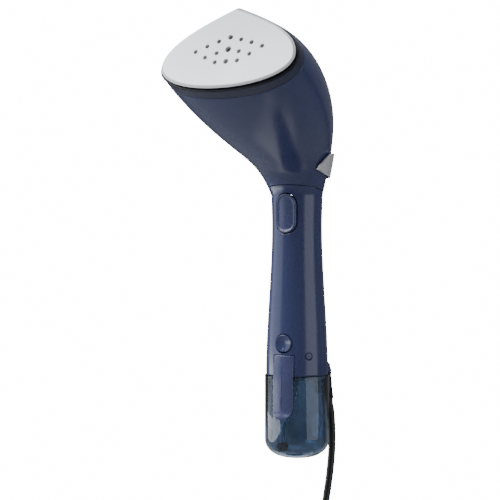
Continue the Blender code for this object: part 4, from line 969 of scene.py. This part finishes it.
def makeTank(t):
    tank = turned("waterTank", tankProfile(t, 0, t["top"]), 128)
    recess = latchFacts["thick"] + grip["gap"]
    runGap = grip["runGap"]
    boolean(tank, latchVolume("tankRecess", runGap, -recess, 0.010, 0.03))
    cavity = turned("tankCavity", tankProfile(t, t["wall"], t["top"] + 0.01), 128)
    boolean(cavity, latchVolume("cavityRecess", runGap + t["wall"], -recess - t["wall"], 0.010, 0.03))
    boolean(tank, cavity)
    finishPiece(tank, smoke, "tank", ("tank",), smooth=35)
    lidTop = t["top"] - 0.0006
    r = t["r"] - t["wall"] - grip["gap"]
    lid = turned("tankLid", ((r - 0.0003, lidTop - t["lid"]), (r, lidTop - t["lid"] + 0.0003), (r, lidTop - 0.0003),
                             (r - 0.0003, lidTop), (t["neckR"] + 0.0004, lidTop), (t["neckR"], lidTop + 0.0004),
                             (t["neckR"], lidTop + t["neckL"] - 0.0004), (t["neckR"] - 0.0004, lidTop + t["neckL"])),
                 96)
    grown = runGap + t["wall"] + grip["gap"]
    boolean(lid, latchVolume("lidRecess", grown, -recess - t["wall"] - grip["gap"], 0.010, 0.03))
    boolean(lid, turned("lidBore", ((t["boreR"], lidTop - 0.0010), (t["boreR"], lidTop + 0.02)), 48))
    finishPiece(lid, whiteNylon, "tank", ("tank_lid",), smooth=35)
    below = lidTop - t["lid"] - grip["gap"]
    x, y = t["inlet"]
    top = t["foot"] + t["inletTop"]
    line = smoothLine([(0, 0, below), (-0.0010, -0.0010, below - 0.010), (x + 0.0010, y + 0.0015, top + 0.0141),
                       (x, y, top + 0.0051), (x, y, top + grip["gap"])], 10)
    tube = linePiece("suctionTube", line, t["tubeR"], sides=6)
    finishPiece(tube, silicone, "tank", ("suction_tube",), smooth=0)
    inlet = turned("inletFilter", ((0.0030, top - 0.0074), (0.0042, top - 0.0071), (0.0045, top - 0.0064),
                                   (0.0045, top - 0.0050), (0.0041, top - 0.0048), (0.0041, top - 0.0042),
                                   (0.0045, top - 0.0040), (0.0045, top - 0.0012), (0.0042, top - 0.0009),
                                   (0.0026, top)), 48, Matrix.Translation((x, y, 0)))
    finishPiece(inlet, blackPlastic, "tank", ("inlet_filter",), smooth=35)
    valve = turned("airValve", ((0.0020, below - 0.0133), (0.0026, below - 0.0126), (0.0028, below - 0.0118),
                                (0.0028, below - 0.0030), (0.0022, below - 0.0025), (0.0022, below)), 40,
                   Matrix.Translation((*t["valve"], 0)))
    finishPiece(valve, whiteNylon, "tank", ("air_valve",), smooth=35)
    rings = []
    for j in range(12):
        b = 2 * pi * j / 12
        r = t["neckR"] + 0.00045 + 0.00035 * cos(b)
        z = lidTop + t["sealUp"] + 0.0009 + 0.0009 * sin(b)
        rings.append([Vector((r * sin(2 * pi * i / 64), r * cos(2 * pi * i / 64), z)) for i in range(64)])
    finishPiece(ringSolid("tankSeal", rings), rubber, "tank", ("tank_seal",), smooth=60)


makeTank(tankFacts)
print("tank made")

reliefFacts = {"length": 0.0220, "ribs": 5, "ribDepth": 0.0003, "rootR": 0.0031, "wideR": 0.0040, "taper": 0.0005}


def makeRelief(f):
    place = cordWay * bossFacts["out"]
    base = grip["baseZ"]
    points = smoothLine([place + Vector((0, 0, base + 0.0065)), place + Vector((0, 0, base - 0.0003)),
                         place + cordWay * 0.0012 + Vector((0, 0, base - 0.010)),
                         cordWay * cordFacts["exitOut"] + Vector((0, 0, base - f["length"]))], 14)
    rings = []
    for p in points:
        down = (base - 0.0003 - p.z) / (f["length"] - 0.0003)
        if down <= 0:
            r = f["rootR"]
        else:
            r = f["wideR"] - f["taper"] * down
            wave = (down * f["ribs"]) % 1
            if 0.45 < wave < 0.9 and down < 0.92:
                r -= f["ribDepth"] * sin(pi * (wave - 0.45) / 0.45)
        rings.append([Vector((p.x + r * sin(a), p.y + r * cos(a), p.z)) for a in
                      [2 * pi * i / 40 for i in range(40)]])
    finishPiece(gridPiece("strainRelief", rings), rubber, "handle", ("strain_relief",), smooth=50)


makeRelief(reliefFacts)

tieFacts = {"height": 0.012, "thick": 0.0016, "clear": 0.0003, "corner": 0.003}


def makeTie(f, middle):
    halfX, halfY = hank["width"] / 2 + f["clear"], hank["layers"] * hank["pitch"] / 2 + f["clear"]
    corner = f["corner"]
    rings = []
    for out, z in ((0.0, -0.5), (0.75, -0.5), (1.0, -0.44), (1.0, 0.44), (0.75, 0.5), (0.0, 0.5)):
        ring = []
        r = corner + out * f["thick"]
        for cx, cy, first in ((1, 1, 0), (-1, 1, pi / 2), (-1, -1, pi), (1, -1, 1.5 * pi)):
            for k in range(9):
                a = first + pi / 2 * k / 8
                ring.append(middle + Vector((cx * (halfX - corner) + r * cos(a), cy * (halfY - corner) + r * sin(a),
                                             z * f["height"])))
        rings.append(ring)
    finishPiece(ringSolid("cordTie", rings), blackPlastic, "handle", ("cord_tie",), smooth=40)


makeTie(tieFacts, hankMiddle)

plugFacts = {"neckL": 0.0180, "bodyL": 0.0200, "r": 0.0178, "pinR": 0.0024, "pinL": 0.0190, "apart": 0.0190,
             "sleeve": ((0.0038, 0), (0.0042, 0.0005), (0.0044, 0.0030), (0.0040, 0.0034), (0.0040, 0.0046),
                        (0.0047, 0.0050), (0.0049, 0.0080), (0.0045, 0.0084), (0.0045, 0.0096), (0.0053, 0.0100)),
             "shoulder": ((0.0056, -0.0035), (0.0062, -0.0018), (0.0090, 0), (0.0130, 0.0012), (0.0160, 0.0034),
                          (0.0174, 0.0058), (0.0178, 0.0090), (0.0178, 0.0120), (0.0172, 0.0126),
                          (0.0172, 0.0152), (0.0178, 0.0158))}


def makePlug(p, at, top):
    neck = top - p["neckL"]
    face = neck - p["bodyL"]
    profile = [(r, top - drop) for r, drop in p["sleeve"]] + [(r, neck - drop) for r, drop in p["shoulder"]]
    profile += [(p["r"], face + 0.0010), (0.0174, face + 0.0003), (0.0166, face), (0.004, face)]
    body = turned("mainsPlug", profile, 72, Matrix.Translation((at.x, at.y, 0)))
    for number, way in ((1, -1), (2, 1)):
        x = at.x + way * p["apart"] / 2
        place = Matrix.Translation((x, at.y, 0))
        boolean(body, turned("pinSeat", ((0.0027, face - 0.002), (0.0027, face + 0.0060)), 32, place))
        r, end = p["pinR"], face - p["pinL"]
        pin = turned("plugPin" + str(number), ((0.0008, end), (0.0016, end + 0.0003), (0.0022, end + 0.0010),
                                               (r, end + 0.0020), (r, face + 0.0057)), 40, place)
        finishPiece(pin, steel, "handle", ("plug_pin_" + str(number),), smooth=50)
    return finishPiece(body, blackPlastic, "handle", ("plug",), smooth=35)


plug = makePlug(plugFacts, plugTop, plugTop.z)
print("cord fittings made")

# inner parts keep their shape and take a finish by their slot
finishes = {"cast_aluminium": cast, "steel": steel, "copper_coil": winding, "white_plastic": whiteNylon,
            "board_green": board, "black_plastic": blackPlastic, "silicone": silicone, "black_rubber": rubber,
            "navy_plastic": navy, "dark_navy_plastic": darkNavy, "silver_plastic": silver,
            "plate_coating": plateCoat, "smoked_clear_plastic": smoke, "lit_lens": lens, "cord_pvc": cordPvc}
for part in frame["record"]["subparts"]:
    node = frame["nodes"][part["node"]]
    for slotOf in node.material_slots:
        slotOf.material = finishes[part["material_slot"]]


# floor, backdrop and lights
stageFacts = {"floorZ": -0.372, "size": 8.0, "paper": 0.30, "glow": 16.0, "fill": 0.22}


def brightToCamera(tree, shader, out, strength):
    # plain white where it is seen directly, and its own shade in reflections
    path = addNode(tree, "LightPath")
    mix = addNode(tree, "MixShader")
    glow = addNode(tree, "Emission" if out.bl_idname == "ShaderNodeOutputMaterial" else "Background",
                   in_Color=(1, 1, 1, 1), in_Strength=strength)
    wire(tree, (path, "Is Camera Ray", mix, "Fac"), (shader, 0, mix, 1), (glow, 0, mix, 2), (mix, 0, out, "Surface"))


def makeStage(s):
    bpy.ops.object.select_all(action="DESELECT")
    bpy.ops.mesh.primitive_circle_add(vertices=64, radius=s["size"] / 2, fill_type="NGON", location=(0, 0, s["floorZ"]))
    floor = named("studioFloor")
    editAll()
    bpy.ops.mesh.inset(thickness=0.02)
    objectMode()
    placed()
    material, tree, shader = startMaterial("floorPaper")
    skin = useGroup(tree, mouldedSkin, Peel=300, Depth=0.05, Rough_Low=0.75, Rough_High=0.9)
    wire(tree, (skin, "Roughness", shader, "Roughness"), (skin, "Normal", shader, "Normal"))
    setSockets(shader, Base_Color=(s["paper"], s["paper"], s["paper"], 1), Specular_IOR_Level=0.1)
    brightToCamera(tree, shader, tree.nodes["Material Output"], s["glow"])
    floor.data.materials.append(material)
    room = bpy.data.worlds.new("paleRoom")
    room.use_nodes = True
    back = room.node_tree.nodes["Background"]
    setSockets(back, Color=(0.92, 0.95, 1.0, 1), Strength=s["fill"])
    brightToCamera(room.node_tree, back, room.node_tree.nodes["World Output"], s["glow"])
    bpy.context.scene.world = room


def addLamp(name, place, turn, size, power, tint):
    bpy.ops.object.light_add(type="AREA", location=place, rotation=turn)
    lamp = bpy.context.object
    lamp.name = name
    lamp.data.shape = "RECTANGLE"
    lamp.data.size, lamp.data.size_y = size
    lamp.data.energy = power
    lamp.data.color = tint
    lamp.visible_camera = False


def addPanels(panels, aim, tint):
    for name, (side, rise, away, size, power) in panels.items():
        a = cameraAt["turn"] - pi / 2 + radians(side)
        way = Vector((cos(a) * cos(radians(rise)), sin(a) * cos(radians(rise)), sin(radians(rise))))
        addLamp(name, aim + way * away, way.to_track_quat("Z", "Y").to_euler(), size, power, tint)


makeStage(stageFacts)
# degrees to the right of the camera and above the horizon, distance, size and power
panelFacts = {"leftPanel": (-100, 14, 1.1, (1.3, 1.15), 6.2), "rightPanel": (56, 4, 1.3, (1.15, 1.5), 9),
              "keyPanel": (-80, 48, 1.3, (1.3, 0.9), 32), "lowPanel": (-96, -14.6, 1.1, (1.3, 0.205), 3.6),
              "topPanel": (150, 70, 1.5, (1.2, 1.2), 14)}
addPanels(panelFacts, Vector((0, -0.03, 0.04)), (0.90, 0.94, 1.0))
# a small light on the floor, that the front of the head mirrors
addLamp("underPanel", (-0.085, 0.130, -0.366), (pi, 0, radians(52)), (0.23, 0.34), 0.15, (1, 1, 1))
print("stage and lights made")
